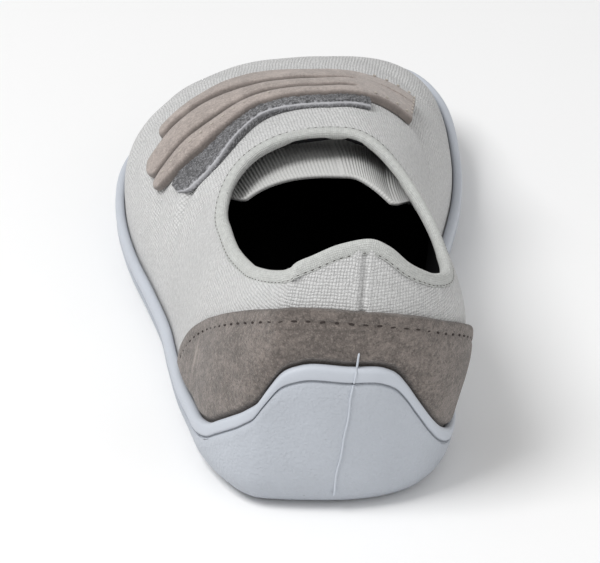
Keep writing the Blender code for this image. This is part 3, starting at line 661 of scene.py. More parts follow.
def nap_group():
    """Suede nap: fine fibres over tufts, and patches where the nap lies one way or the other."""
    tree, ins, outs = new_group("suede nap", (
        ("Place", "NodeSocketVector", None), ("Fibre", "NodeSocketFloat", 2600.0),
        ("Patch", "NodeSocketFloat", 90.0),
    ), (("Height", "NodeSocketFloat"), ("Tone", "NodeSocketFloat"), ("Fleck", "NodeSocketFloat"),
        ("Pit", "NodeSocketFloat")))
    fine = noise(tree, ins["Place"], ins["Fibre"], 3.0, 0.65)
    tuft = noise(tree, ins["Place"], times(tree, ins["Fibre"], 0.42), 3.0, 0.6)
    streak = noise(tree, ins["Place"], times(tree, ins["Fibre"], 0.13), 4.0, 0.6)
    patch = noise(tree, ins["Place"], ins["Patch"], 3.0, 0.6)
    join(tree, maths(tree, "MULTIPLY_ADD", fine, 0.6, tuft), outs["Height"])
    tone = maths(tree, "ADD", times(tree, patch, 0.5),
                 times(tree, streak, 0.5))
    join(tree, ramp(tree, tone, 0.36, 0.64), outs["Tone"])
    both = maths(tree, "ADD", times(tree, fine, 0.5), times(tree, tuft, 0.5))
    join(tree, ramp(tree, both, 0.50, 0.64), outs["Fleck"])
    join(tree, ramp(tree, both, 0.50, 0.37), outs["Pit"])


def rubber_group():
    """Moulded rubber: an orange peel grain, with faint clouds in its colour."""
    tree, ins, outs = new_group("moulded grain", (
        ("Place", "NodeSocketVector", None), ("Grain", "NodeSocketFloat", 1100.0),
    ), (("Height", "NodeSocketFloat"), ("Cloud", "NodeSocketFloat")))
    cells = add(tree, "ShaderNodeTexVoronoi", {"Vector": ins["Place"], "Scale": ins["Grain"],
                                               "Randomness": 1.0}, feature="SMOOTH_F1")
    rough = noise(tree, ins["Place"], times(tree, ins["Grain"], 0.8), 2.0)
    join(tree, maths(tree, "ADD", cells.outputs["Distance"], rough), outs["Height"])
    join(tree, ramp(tree, noise(tree, ins["Place"], 45.0, 4.0), 0.35, 0.7), outs["Cloud"])


def dust_group():
    """Handling dust: soft grey clouds and a few specks."""
    tree, ins, outs = new_group("dust", (("Place", "NodeSocketVector", None),),
                                (("Cloud", "NodeSocketFloat"), ("Speck", "NodeSocketFloat")))
    join(tree, ramp(tree, noise(tree, ins["Place"], 60.0, 5.0, 0.6), 0.48, 0.72), outs["Cloud"])
    specks = add(tree, "ShaderNodeTexVoronoi", {"Vector": ins["Place"], "Scale": 230.0})
    near = ramp(tree, specks.outputs["Distance"], 0.05, 0.10, 1.0, 0.0)
    rare = ramp(tree, noise(tree, ins["Place"], 75.0, 1.0), 0.60, 0.66)
    join(tree, times(tree, near, rare), outs["Speck"])


def new_material(name, roughness, **fixed):
    """A Principled material; what is the same all over is set on the shader's own sockets.

    It returns the node tree, the shader's inputs and the coordinates.
    """
    material = bpy.data.materials.new(name)
    material.use_nodes = True
    tree = material.node_tree
    inputs = tree.nodes["Principled BSDF"].inputs
    for key, value in {"Roughness": roughness, "Metallic": 0.0, **fixed}.items():
        inputs[key.replace("_", " ")].default_value = value
    return tree, inputs, tree.nodes.new("ShaderNodeTexCoord").outputs


def dress(tree, inputs, colour, height, distance, strength=1.0):
    """Gives a shader its colour and its relief, the relief through a Bump node."""
    tree.links.new(colour, inputs["Base Color"])
    bump = add(tree, "ShaderNodeBump", {"Height": height, "Distance": distance,
                                        "Strength": strength})
    tree.links.new(bump.outputs[0], inputs["Normal"])


def canvas_material(name, base, pitch, gap, depth):
    """Woven canvas with darker gaps, soft dust clouds, a few specks and shaded hollows."""
    tree, inputs, where = new_material(name, 0.93, Sheen_Weight=0.12, Specular_IOR_Level=0.2)
    weave = use_group(tree, "canvas weave", Map=where["UV"], Pitch=pitch)
    dust = use_group(tree, "dust", Place=where["Object"])
    yarn = mix(tree, weave["Slub"], tint(base, 0.90), tint(base, 1.08))
    done = laid_over(tree, yarn, base, (weave["Gap"], gap, 0.42), (dust["Cloud"], 0.14, 0.62),
                     (dust["Speck"], 0.4, 0.25), (attribute(tree, "shade"), 0.7, 0.30))
    dress(tree, inputs, done, weave["Height"], depth)


def lining_material(base):
    """Nearly black knit."""
    tree, inputs, where = new_material("dark_lining", 0.95, Specular_IOR_Level=0.1)
    knit = noise(tree, where["Object"], 1500.0, 3.0)
    dress(tree, inputs, mix(tree, knit, tint(base, 0.6), tint(base, 1.3)), knit, 0.0003)


def suede_material(name, base, fibre, patch, contrast, depth, grain):
    """Suede with patches, dark pits, pale flecks, painted shade along its edges and pale wear."""
    tree, inputs, where = new_material(name, 0.97, Sheen_Weight=0.25, Sheen_Roughness=0.6,
                                       Specular_IOR_Level=0.12)
    nap = use_group(tree, "suede nap", Place=where["Object"], Fibre=fibre, Patch=patch)
    tone = mix(tree, nap["Tone"], tint(base, 1 - contrast), tint(base, 1 + contrast))
    # The edge attribute is painted shade: darker along the counter's top edge, where the counter
    # tucks under the rim, and along the fingers' edges.
    done = laid_over(tree, tone, base, (nap["Pit"], grain, 0.42), (nap["Fleck"], grain * 0.8, 1.9),
                     (attribute(tree, "edge"), 0.8, 0.34), (attribute(tree, "wear"), 0.8, 2.1))
    dress(tree, inputs, done, nap["Height"], depth)


def rubber_material(base, grain_scale):
    """Moulded rubber, smoother on the lip, with painted highlight on its smooth parts, painted
    shade near the floor and painted shade in its creases.
    """
    tree, inputs, where = new_material("moulded_rubber", 0.52, Specular_IOR_Level=0.42)
    grain = use_group(tree, "moulded grain", Place=where["Object"], Grain=grain_scale)
    dust = use_group(tree, "dust", Place=where["Object"])
    smooth = attribute(tree, "smooth")
    cloud = mix(tree, grain["Cloud"], tint(base, 0.965), tint(base, 1.03))
    # Painted light in these layers: the smooth mask makes the rubber lighter, a painted highlight
    # for the lip band's top light, which the flash and the tread's smooth tracks and dents get too;
    # the field near the floor is painted shade, darker towards the floor; the shade field paints
    # shade in creases and hollows.
    done = laid_over(tree, cloud, base, (smooth, 0.7, 1.20), (dust["Cloud"], 0.10, 0.72),
                     (dust["Speck"], 0.45, 0.25), (attribute(tree, "floor_shade"), 1.0, 0.66),
                     (attribute(tree, "shade"), 0.6, 0.35))
    rough = maths(tree, "MULTIPLY_ADD", grain["Height"], 0.10, 0.44)
    tree.links.new(rough, inputs["Roughness"])
    height = times(tree, grain["Height"], maths(tree, "SUBTRACT", 1.0, smooth))
    dress(tree, inputs, done, height, 0.00022, 0.9)


def pile_material(base):
    """Woolly loops, dark between the tufts, with a pale band at the rear edge."""
    tree, inputs, where = new_material("woolly_pile", 1.0, Sheen_Weight=0.3,
                                       Specular_IOR_Level=0.1)
    tuft = noise(tree, where["Object"], 1700.0, 4.0, 0.75)
    woolly = mix(tree, ramp(tree, tuft, 0.44, 0.68), tint(base, 0.60), tint(base, 2.7))
    done = laid_over(tree, woolly, base, (attribute(tree, "band"), 0.9, 4.3))
    dress(tree, inputs, done, tuft, 0.0006)


def elastic_material(base):
    """Elastic yarn, shaded between its ribs."""
    tree, inputs, where = new_material("ribbed_elastic", 0.85, Sheen_Weight=0.15,
                                       Specular_IOR_Level=0.25)
    yarn = noise(tree, where["UV"], 1500.0, 3.0)
    toned = mix(tree, yarn, tint(base, 0.88), tint(base, 1.06))
    done = laid_over(tree, toned, base, (attribute(tree, "shade"), 0.30, 0.50))
    dress(tree, inputs, done, yarn, 0.00012)


def thread_material(name, base):
    """Twisted sewing thread."""
    tree, inputs, where = new_material(name, 0.8, Specular_IOR_Level=0.3)
    twist = noise(tree, where["Object"], 4000.0, 2.0)
    dress(tree, inputs, mix(tree, twist, tint(base, 0.7), tint(base, 1.25)), twist, 0.00006)


def finish(name):
    """The finished material of a name."""
    return bpy.data.materials[name]


# Pieces

# Creases of the canvas: station, turn in degrees, direction in degrees from the station's line,
# then half length, half width and depth in metres, troughs below zero
CREASES = (
    (-0.438, 37, 62, 0.0110, 0.0020, -0.0009), (-0.452, 40, 62, 0.0100, 0.0018, 0.0005),
    (-0.425, 33, 66, 0.0120, 0.0019, 0.0005), (-0.405, 36, 72, 0.0090, 0.0017, -0.0005),
    (-0.470, 27, 55, 0.0120, 0.0024, -0.0006), (-0.345, 44, 10, 0.0140, 0.0022, -0.0004),
    (-0.240, 62, 12, 0.0130, 0.0016, -0.0004), (-0.100, 60, 5, 0.0100, 0.0014, 0.0003),
    (0.110, 62, -8, 0.0130, 0.0018, -0.0004), (0.300, 50, 14, 0.0160, 0.0022, -0.0006),
    (0.420, 46, 70, 0.0120, 0.0022, -0.0007), (0.445, 44, 72, 0.0110, 0.0019, 0.0005),
    (0.610, 56, 58, 0.0160, 0.0030, -0.0009), (0.640, 60, 62, 0.0150, 0.0028, 0.0006),
    (0.570, 50, 50, 0.0120, 0.0026, -0.0006), (-0.620, 52, 60, 0.0170, 0.0030, -0.0009),
    (-0.650, 56, 64, 0.0160, 0.0028, 0.0006), (-0.585, 44, 52, 0.0130, 0.0026, -0.0006),
    (-0.560, 25, 30, 0.0150, 0.0030, -0.0005), (0.520, 30, 24, 0.0150, 0.0030, -0.0005),
    (-0.740, 60, 30, 0.0180, 0.0034, -0.0006), (0.740, 58, 34, 0.0180, 0.0034, -0.0006),
)
# All creases are this much deeper than their table says, and bow aside by this share
CREASE_GAIN = 1.25
CREASE_BOW = 0.12
# Shares of the upper's wall: the canvas from outside, the lining's depth and its thickness
CANVAS_SHARE = 0.5
LINING_DEPTH = 0.62
LINING_SHARE = 0.4
# Uneven waves of each soft surface: depth and size in metres, and the noise's seed
CANVAS_WAVES = ((0.00030, 0.026, 3), (0.00013, 0.009, 5))
COUNTER_WAVES = ((0.00022, 0.011, 31), (0.00012, 0.004, 33))
PAD_WAVES = ((0.00026, 0.0007, 51), (0.00016, 0.0016, 53))
STRAP_WAVES = ((0.00022, 0.007, 61), (0.00004, 0.0022, 65))
# Where the cloth map changes from round the heel to along the toes, as stations
CLOTH_CHANGE = (0.30, 0.42)
CLOTH_JOIN = 0.40
CLOTH_ROUND_TOE = 0.69
# How high over the rim the canvas starts to move freely, and over what height it does so fully
FREE_START = 0.0006
FREE_OVER = 0.004
# Back seam: how far it stands aside of the heel's station, its half width and its depth, then
# the place, half width and height of the two swells beside it
SEAM_ASIDE = 0.0069
SEAM_WIDTH = 0.00040
SEAM_DEPTH = 0.00060
SWELL_ASIDE = 0.0011
SWELL_WIDTH = 0.0006
SWELL_HEIGHT = 0.00028


def crease_field(station, turn):
    """Depth of all creases: each a long bell along its line times a short bell across it."""
    spots = surface(station, turn)
    total = np.zeros(spots.shape[:-1])
    small = 1e-3
    for at, angle, direction, length, width, depth in CREASES:
        angle, direction = math.radians(angle), math.radians(direction)
        centre = surface(at, angle)
        ahead = unit(surface(at + math.copysign(small, at), angle) - centre)
        rise = unit(surface(at, angle + small) - centre)
        line = ahead * math.cos(direction) + rise * math.sin(direction)
        aside = unit(np.cross(line, np.cross(ahead, rise)))
        apart = spots - centre
        run, gap = apart @ line, apart @ aside
        bow = gap + CREASE_BOW * run * run / length
        total += CREASE_GAIN * depth * np.exp(-(run / length) ** 2 - (bow / width) ** 2)
    return total


def cloth_map(stations, turn):
    """Cloth coordinates in metres, as if the canvas lay flat.

    Round the heel: length along the outline, and length up the section. Over the toes: length
    along the foot, and length across it from the ridge. The two blend at the waist.
    """
    fine = np.linspace(0, math.pi / 2, 120)
    line = surface(stations[:, None], fine[None, :])
    step = np.diff(line, axis=1)
    whole = np.linalg.norm(step, axis=2)
    fall = np.diff(line[..., 2] + toe_fall(line[..., 1] - HEEL_ALONG), axis=1)
    across = np.minimum(np.hypot(step[..., 0], fall), whole)
    ahead = np.sqrt(np.maximum(whole ** 2 - across ** 2, 0))
    zero = np.zeros((len(stations), 1))
    up, over, on = (np.concatenate([zero, np.cumsum(part, axis=1)], axis=1)
                    for part in (whole, across, ahead))
    steps = arc_lengths(surface(stations, 0.35))
    round_heel = np.abs(steps - np.interp(0.0, stations, steps))
    ridge = line[:, -1, 1] - HEEL_ALONG
    side = np.abs(stations)
    start, end = CLOTH_CHANGE
    blend = ease((side - start) / (end - start))[:, None]
    inner = stations >= 0
    lead = np.interp(CLOTH_JOIN, side[inner], (round_heel - ridge)[inner])
    u_toe = ridge[:, None] + lead + np.where(side[:, None] > CLOTH_ROUND_TOE, on[:, -1:] - on, 0.0)
    u = round_heel[:, None] * (1 - blend) + u_toe * blend
    full = np.interp(0.5, side[inner], up[inner, -1])
    v = up * (1 - blend) + (full - (over[:, -1:] - over)) * blend
    v = np.where(stations[:, None] >= SEAM_STATION, 2 * full - v, v)
    out = np.empty(turn.shape + (2,))
    for k in range(len(stations)):
        out[k, :, 0] = np.interp(turn[k], fine, u[k])
        out[k, :, 1] = np.interp(turn[k], fine, v[k])
    return out


def shell_stations(count):
    """Stations at even steps, with one at the heel's middle line."""
    grid = np.linspace(-1.0, 1.0, count)
    grid[np.argmin(np.abs(grid))] = 0.0
    return grid


def shell_grid(stations, levels):
    """Stations, turns and placed points of a shell from the feather up to the collar or ridge."""
    top = np.where(past_throat(stations), math.pi / 2, collar_turn(stations))
    turn = top[:, None] * levels[None, :]
    grid = repeated(stations, len(levels))
    spots = surface(grid, turn)
    rim = rim_height(stations)[:, None]
    free = ease((spots[..., 2] - rim - FREE_START) / FREE_OVER)
    return grid, turn, spots, rim, free


def past_throat(stations):
    """Which stations lie ahead of the opening, where the section closes at the ridge."""
    return np.abs(stations) >= THROAT_END - 1e-6


def close_ridge(stations, points):
    """Brings the two halves of a shell together along the ridge, and at its front end."""
    ridge = past_throat(stations)
    points[ridge, -1] = ((points[:, -1] + points[::-1, -1]) / 2)[ridge]
    pole = np.abs(stations) >= RIDGE_STATION
    points[pole, -1] = points[pole, -1].mean(axis=0)


def thicken(piece, thickness):
    """Gives a shell its wall, to the inside."""
    wall = piece.modifiers.new("wall", "SOLIDIFY")
    wall.thickness, wall.offset = thickness, -1


def make_canvas(finishing):
    """Canvas: the last's surface from feather to collar, moved by creases and the back seam."""
    cut = 2e-4
    stations = np.unique(np.concatenate([
        shell_stations(361), np.linspace(-0.06, 0.06, 49),
        [SEAM_STATION - cut, SEAM_STATION, -SEAM_STATION + cut, -SEAM_STATION],
        np.linspace(-THROAT_END, -THROAT_END + 0.02, 7),
        np.linspace(THROAT_END - 0.02, THROAT_END, 7)]).round(7))
    levels = np.concatenate([np.linspace(0, 0.9, 78), np.linspace(0.9, 1, 14)[1:]])
    grid, turn, spots, rim, free = shell_grid(stations, levels)
    lift = (crease_field(grid, turn) + unevenness(spots, CANVAS_WAVES)) * free
    run = arc_lengths(surface(stations, 1.0))
    run = run - np.interp(0.0, stations, run)
    share = np.clip((spots[..., 2] - 0.045) / 0.016, -0.5, 1.5)
    waver = 0.00022 * soft_noise(spots * (0, 0, 1), 0.004, 9)
    sideways = run[:, None] - (SEAM_ASIDE - 0.0005 * share + waver)
    seam = bell(sideways, SEAM_WIDTH)
    shoulder = bell(np.abs(sideways) - SWELL_ASIDE, SWELL_WIDTH)
    lift += free * (SWELL_HEIGHT * shoulder - SEAM_DEPTH * seam)
    points = surface(grid, turn, lift)
    close_ridge(stations, points)
    broken = 0.65 + 0.35 * soft_noise(spots, 0.0016, 11)
    near_rim = np.exp(-np.maximum(spots[..., 2] - rim, 0) / 0.0011) * 0.55
    shade = np.clip(seam * broken * 0.9 + near_rim, 0, 1)
    piece = make_piece("canvas_upper", points, grid_quads(*grid.shape), finishing, "canvas",
                       "upper", cloth_map(stations, turn), solid=False, shade=shade)
    thicken(piece, UPPER_WALL * CANVAS_SHARE)


def make_lining(finishing):
    """Lining: the last's surface set in by just over half the wall, up to the collar."""
    stations = np.unique(np.append(shell_stations(201), [-THROAT_END, THROAT_END]).round(7))
    grid, turn, _, _, free = shell_grid(stations, np.linspace(0, 1, 44))
    fold = np.minimum(crease_field(grid, turn), 0.0) * free
    points = surface(grid, turn, fold - UPPER_WALL * LINING_DEPTH)
    close_ridge(stations, points)
    piece = make_piece("lining", points, grid_quads(*grid.shape), finishing, "lining",
                       solid=False)
    thicken(piece, UPPER_WALL * LINING_SHARE)


def wall_out(height, lip, rim):
    """How far the cup's outer face stands outside the canvas, by height.

    Plain wall, a narrow crease at the lip's foot, then the lip's slightly full band.
    """
    crease = -0.00075 * bell(height - lip, 0.00032)
    band = 0.00025 * np.sin(math.pi * np.clip((height - lip) / (rim - lip), 0, 1))
    below = 0.00020 * bell(height - lip + 0.0022, 0.0014)
    return RIM_WALL + crease + band + below


# Height at which the cup's bottom and the tread's block are closed, one inside the other
CUP_CLOSING = 0.0022
TREAD_CLOSING = 0.0021
# Turns of the rings round the bottom's edge and over the rim, in degrees
EDGE_TURNS = (0, 8, 17, 26, 35, 44, 53, 62, 72)
RIM_TURNS = (8, 24, 42, 60, 78, 96, 115, 135, 155, 172)
# Heights of the rings about the lip's crease
LIP_STEPS = (-0.0007, -0.00045, -0.00025, -0.0001, 0, 0.0001, 0.00025, 0.00045, 0.0008)
# Shares of the way up the lip and of the way up inside, where rings lie
LIP_SHARES = (0.35, 0.5, 0.7, 0.85)
INSIDE_SHARES = (0.8, 0.5, 0.25, 0.0)
# The ring that meets the canvas, counted from the bottom
RIM_RING = 45


def make_cup(finishing):
    """Cup sole: rings round the outline from the bottom's edge up, over the rim and down inside."""
    stations = shell_stations(801)[:-1]
    rim = rim_height(stations)
    lip = rim - LIP_BAND
    round_top = np.minimum(EDGE_ROUND, lip - LIP_STEP)
    plan, normal = outline(stations), outward(stations)
    rings = []

    def edge_ring(inset, height):
        """A ring inside the outline, at a height."""
        rings.append(np.column_stack([plan - normal * inset, np.broadcast_to(height, len(plan))]))

    def wall_ring(height, out=None):
        """A ring round the wall, outside the canvas by the wall's own curve or a given width."""
        out = wall_out(height, lip, rim) if out is None else out
        ring = last_point(stations, turn_at(stations, height), GAP + out)
        ring[:, 2] = height
        rings.append(ring)

    edge_ring(EDGE_ROUND + 0.0002, CUP_CLOSING)
    edge_ring(EDGE_ROUND + 0.0001, 0.0001)
    for angle in np.radians(EDGE_TURNS):
        edge_ring(EDGE_ROUND * (1 - math.sin(angle)), round_top * (1 - math.cos(angle)))
    for share in np.linspace(0.0, 0.86, 12):
        wall_ring(round_top + (lip - round_top) * share)
    for step in LIP_STEPS:
        wall_ring(lip + step)
    half = RIM_WALL / 2
    for share in LIP_SHARES:
        wall_ring(lip + (rim - half - lip) * share)
    for angle in np.radians(RIM_TURNS):
        wall_ring(rim - half + half * math.sin(angle),
                  half + (half + 0.0002) * math.cos(angle))
    for share in INSIDE_SHARES:
        wall_ring(SOLE_FLOOR + (rim - half - SOLE_FLOOR) * share, 0.0)
    points = np.array(rings)
    placed = place(points)
    height = points[..., 2]
    crease = bell(height - lip, 0.00030) * (height > 0.003)
    inner = np.exp(-np.abs(np.arange(len(rings)) - RIM_RING) / 1.2)[:, None] * 0.9
    # Smooth lip band: no grain there, and the rubber's finish makes it lighter as painted
    # highlight.
    smooth = np.clip(ease((height - lip) / 0.0006) * 0.75 + 0.05, 0, 1)
    # Painted shade: the rubber darkens towards the floor for the shade where the sole meets the
    # ground, and shade is painted in the lip's crease and where the cup meets the canvas.
    fields = {"shade": np.clip(crease * 0.8 + inner * 0.5, 0, 1), "smooth": smooth,
              "floor_shade": 0.6 * np.exp(-height / 0.0055)}
    quads = [grid_quads(len(rings), len(stations), closed=True)]
    spots = [placed.reshape(-1, 3)]
    half_way = len(stations) // 2
    for ring in (placed[0], placed[-1]):
        quads.append(grid_quads(2, half_way + 1, start=sum(len(part) for part in spots)))
        spots.append(np.concatenate([ring[half_way::-1], ring[half_way:], ring[:1]]))
    plain = np.zeros(sum(len(part) for part in spots[1:]))
    fields = {key: np.append(values.ravel(), plain) for key, values in fields.items()}
    make_piece("cup_sole", np.concatenate(spots), np.concatenate(quads), finishing,
               "sole_rubber", "outsole", **fields)


def track_path(turns):
    """A serpentine through its turns: straight rows joined by half circles."""
    ends = np.array(turns) * (TREAD_SPREAD * SOLE_LENGTH, SOLE_LENGTH)
    radius = TRACK_PITCH / 2
    path = [ends[0]]
    for k in range(1, len(ends) - 1):
        row = ends[k] - (ends[k - 1] + ends[k + 1]) / 2
        row /= np.linalg.norm(row)
        across = np.array([-row[1], row[0]]) * (1 if row[0] > 0 else -1)
        centre = ends[k] - row * (radius + TRACK_WIDTH / 2)
        for angle in np.linspace(0, math.pi, 9):
            path.append(centre + across * radius * math.cos(angle)
                        + row * radius * math.sin(angle))
    path.append(ends[-1])
    return np.array(path)


def distance_to(path, spots):
    """Shortest distance from plan points to a line of straight pieces."""
    best = np.full(len(spots), 1.0)
    for a, b in zip(path[:-1], path[1:]):
        d = b - a
        t = np.clip(((spots - a) @ d) / (d @ d), 0, 1)
        best = np.minimum(best, np.linalg.norm(spots - a - t[:, None] * d, axis=1))
    return best


# How far the bare field lies above the floor, and how much deeper than named each cut is made
FIELD_LIFT = 0.00022
CUT_EXTRA = 0.0001
# The bare ring under the waist: its middle, and the radius and depth of its groove
RING_MIDDLE = (-0.0245, 0.0679)
RING_RADIUS = 0.0050
RING_DEPTH = 0.00035


def tread_depth(spots):
    """Depth of the bottom's relief, and how smooth it is there: tracks, toe dents and ring."""
    depth = np.full(len(spots), FIELD_LIFT)
    smooth = np.zeros(len(spots))
    half = TRACK_WIDTH / 2 + 0.00035
    for turns in (FRONT_TRACK, HEEL_TRACK):
        share = np.clip(distance_to(track_path(turns), spots) / half, 0, 1)
        depth = np.maximum(depth, (TRACK_DEPTH + CUT_EXTRA) * (1 - share ** 2.4))
        smooth = np.maximum(smooth, ease((1 - share) * 4))
    for across, along, length, width, turn in DENTS:
        turn = math.radians(turn)
        apart = spots - (across * BALL_WIDTH, along * SOLE_LENGTH)
        a = (apart[:, 0] * math.cos(turn) + apart[:, 1] * math.sin(turn)) / (length * SOLE_LENGTH)
        b = (-apart[:, 0] * math.sin(turn) + apart[:, 1] * math.cos(turn)) / (width * BALL_WIDTH)
        inside = np.clip(1 - a * a - b * b, 0, 1)
        depth = np.maximum(depth, (TOE_DENT_DEPTH + CUT_EXTRA) * inside ** 0.62)
        smooth = np.maximum(smooth, ease(inside * 8))
    ring = np.linalg.norm(spots - RING_MIDDLE, axis=1)
    depth = np.where(ring < RING_RADIUS + 0.0002, np.minimum(depth, 2 * RING_DEPTH), depth)
    depth -= RING_DEPTH * bell(ring - RING_RADIUS, 0.0004)
    return depth, smooth


# Smooth border of the bottom: where the grain starts inside its line and over what width, the
# width of the line itself and its height, then the grain's depth and size
FIELD_START = 0.0009
FIELD_OVER = 0.0007
BORDER_WIDTH = 0.0004
BORDER_HEIGHT = 0.00012
GRAIN_DEPTH = 0.00009
GRAIN_SIZE = 0.0011


def make_tread(finishing):
    """Tread: rows across the bottom between its two edges, raised by the relief's depth."""
    side = np.arccos(1 - 2 * np.linspace(0.0, 1.0, 345)) / math.pi
    inset = EDGE_ROUND + 0.00005
    outer = outline(-side) - outward(-side) * inset
    inner = outline(side) - outward(side) * inset
    share = (1 - np.cos(np.linspace(0, math.pi, 133))) / 2 * 0.25 + np.linspace(0, 1, 133) * 0.75
    spots = outer[:, None] + (inner - outer)[:, None] * share[None, :, None]
    flat = spots.reshape(-1, 2)
    depth, smooth = tread_depth(flat)
    round_foot = np.linspace(-1, 1, 401)
    to_edge = distance_to(outline(round_foot) - outward(round_foot) * EDGE_ROUND, flat)
    field = ease((to_edge - FIELD_START) / FIELD_OVER)
    border = 1 - ease(to_edge / BORDER_WIDTH)
    grain = GRAIN_DEPTH * soft_noise(np.column_stack([flat, flat[:, 0] * 0]), GRAIN_SIZE, 21)
    depth = (depth + grain * (1 - smooth)) * field + BORDER_HEIGHT * (1 - border) * (1 - field)
    low = np.column_stack([flat, np.maximum(depth, 0)]).reshape(spots.shape[:2] + (3,))
    high = low.copy()
    high[..., 2] = TREAD_CLOSING
    dark = np.clip(depth / 0.0016, 0, 1) * 0.10
    make_piece("tread", *slab(place(high), place(low)), finishing, "sole_rubber",
               smooth=both_sides(smooth), shade=both_sides(dark))


def make_insole(finishing):
    """Insole: the outline set in, with a soft edge, as rings joined across by strips."""
    side = np.linspace(0, 1, 121)
    inset = RIM_WALL + UPPER_WALL + 3 * GAP
    outer = outline(-side) - outward(-side) * inset
    inner = outline(side) - outward(side) * inset
    share = (1 - np.cos(np.linspace(0, math.pi, 41))) / 2
    spots = outer[:, None] + (inner - outer)[:, None] * share[None, :, None]
    edge = np.minimum(share, 1 - share)[None, :] * np.linalg.norm(inner - outer, axis=1)[:, None]
    edge = np.minimum(edge, np.minimum(side, 1 - side)[:, None] * 0.2)
    top = INSOLE_THICKNESS * (0.35 + 0.65 * rounded(edge, 0.0025))
    high = np.concatenate([spots, (FEATHER_HEIGHT + top)[..., None]], axis=-1)
    low = np.concatenate([spots, np.full(spots.shape[:2] + (1,), FEATHER_HEIGHT)], axis=-1)
    make_piece("insole_board", *slab(place(high), place(low)), finishing, "lining", "insole")


# Suede counter: its foot under the rim, its skin over the canvas, and the stitches' seat
COUNTER_TUCK = 0.0012
COUNTER_BASE = 0.00010
COUNTER_SKIN = COUNTER_THICKNESS + 0.00020
STITCH_SEAT = 0.00018
# Where the scuff at the outer side lies: station and height
SCUFF_STATION = -0.262
SCUFF_HEIGHT = 0.0235


def counter_wear(spots):
    """Two pale scuffs at the outer side, one long and bent, one short and straight."""
    centre = surface(SCUFF_STATION, turn_at(SCUFF_STATION, SCUFF_HEIGHT))
    along, up = spots[..., 1] - centre[1], spots[..., 2] - centre[2]
    bent = np.exp(-(up / 0.0050) ** 2 - ((along - 6.0 * up ** 2) / 0.00075) ** 2)
    short = np.exp(-((up - 0.002) / 0.0035) ** 2 - ((along + 0.0024) / 0.00045) ** 2)
    return bent + short * 0.5


def make_counter(finishing, thread, sizes):
    """Heel counter: a band of the last's surface under a curved top edge, tucked into the rim."""
    stations = np.linspace(COUNTER["station"][0], COUNTER["station"][-1], 331)
    rim = rim_height(stations)
    low = rim - COUNTER_TUCK
    high = np.maximum(HEEL_HEIGHT * table_value(COUNTER, "height", stations), rim + 0.0002)
    shares = np.concatenate([np.linspace(0, 0.90, 40), np.linspace(0.90, 1, 12)[1:]])
    height = low[:, None] + (high - low)[:, None] * shares[None, :]
    grid = repeated(stations, len(shares))
    turn = turn_at(grid, height)
    spots = surface(grid, turn)
    run = arc_lengths(surface(stations, 0.5))
    edge_line = np.column_stack([run, high])
    flat = np.column_stack([np.repeat(run, len(shares)), height.ravel()])
    to_edge = distance_to(edge_line, flat).reshape(height.shape)
    to_edge = np.where(height < rim[:, None], 1.0, to_edge)
    tuck = ease((height - rim[:, None] + 0.0002) / 0.0022)
    pull = bell(to_edge - STITCH_INSET, 0.00055)
    inside = (run > 0.004) & (run < run[-1] - 0.004)
    full = COUNTER_SKIN + unevenness(spots, COUNTER_WAVES) - 0.00030 * pull * inside[:, None]
    lift = COUNTER_BASE + full * rounded(to_edge, 0.0007) * tuck
    wear = np.clip(counter_wear(spots) * (stations < -0.2)[:, None], 0, 1)
    # Painted shade: a dark line along the suede's top edge for the shadow between suede and canvas,
    # and darkening low down where the suede tucks under the rim.
    shade = np.clip(bell(to_edge - 0.0002, 0.0004) * 0.5 + (1 - tuck) * 0.9, 0, 1)
    make_piece("suede_counter", *slab(surface(grid, turn, lift), surface(grid, turn, 0.00002)),
               finishing, "counter_suede", "heel_counter",
               wear=np.append(wear.ravel(), np.zeros(wear.size)), edge=both_sides(shade))
    tangent = unit(np.gradient(edge_line, axis=0))
    inner = edge_line + np.column_stack([tangent[:, 1], -tangent[:, 0]]) * STITCH_INSET
    keep = (inner[:, 1] > np.interp(inner[:, 0], run, rim) + 0.002) & (inner[:, 0] > run[3])
    inner = inner[keep & (inner[:, 0] < run[-4])]
    inner = inner[np.argsort(inner[:, 0])]
    at = np.interp(inner[:, 0], run, stations)
    tilt = turn_at(at, inner[:, 1])
    line = surface(at, tilt, COUNTER_BASE + COUNTER_SKIN - STITCH_SEAT)
    point, along, up = along_line(line, unit(line - surface(at, tilt)),
                                  stitch_places(line, sizes.stitch_pitch))
    spread = np.random.default_rng(3)
    turned = unit(along + np.cross(up, along) * spread.normal(0, 0.16, (len(point), 1)))
    long = spread.uniform(0.0011, 0.0016, len(point))
    make_piece("counter_stitches", *beads(point, turned, up, long, 0.00062, 0.00040), thread,
               "counter_suede")


def stitch_places(line, pitch):
    """Lengths along a line of its stitches' middles, evened out over the whole line."""
    length = arc_lengths(line)[-1]
    count = int(length / pitch)
    return (np.arange(count) + 0.5) * length / count


# Section of the folded collar edge: out of the shoe and up from the canvas's edge, in metres
BINDING_SECTION = (
    (0.00002, -0.0029), (0.00026, -0.0027), (0.00020, -0.0024), (0.00030, -0.0021),
    (0.00048, -0.0016), (0.00056, -0.0010), (0.00052, -0.0004), (0.00034, 0.0002),
    (-0.00004, 0.0006), (-0.00060, 0.00078), (-0.00120, 0.00072), (-0.00180, 0.0004),
    (-0.00220, -0.0001), (-0.00240, -0.0007), (-0.00236, -0.0011), (-0.00200, -0.0012),
    (-0.00188, -0.0006), (-0.00150, 0.0001), (-0.00020, 0.0001), (-0.00004, -0.0010),
)
# Sections round the collar, and the stitches' place on the section and their sizes
BINDING_SECTIONS = 720
BINDING_STITCH = (0.00020, -0.00245)
BINDING_STITCH_SIZE = (0.00026, 0.00024)


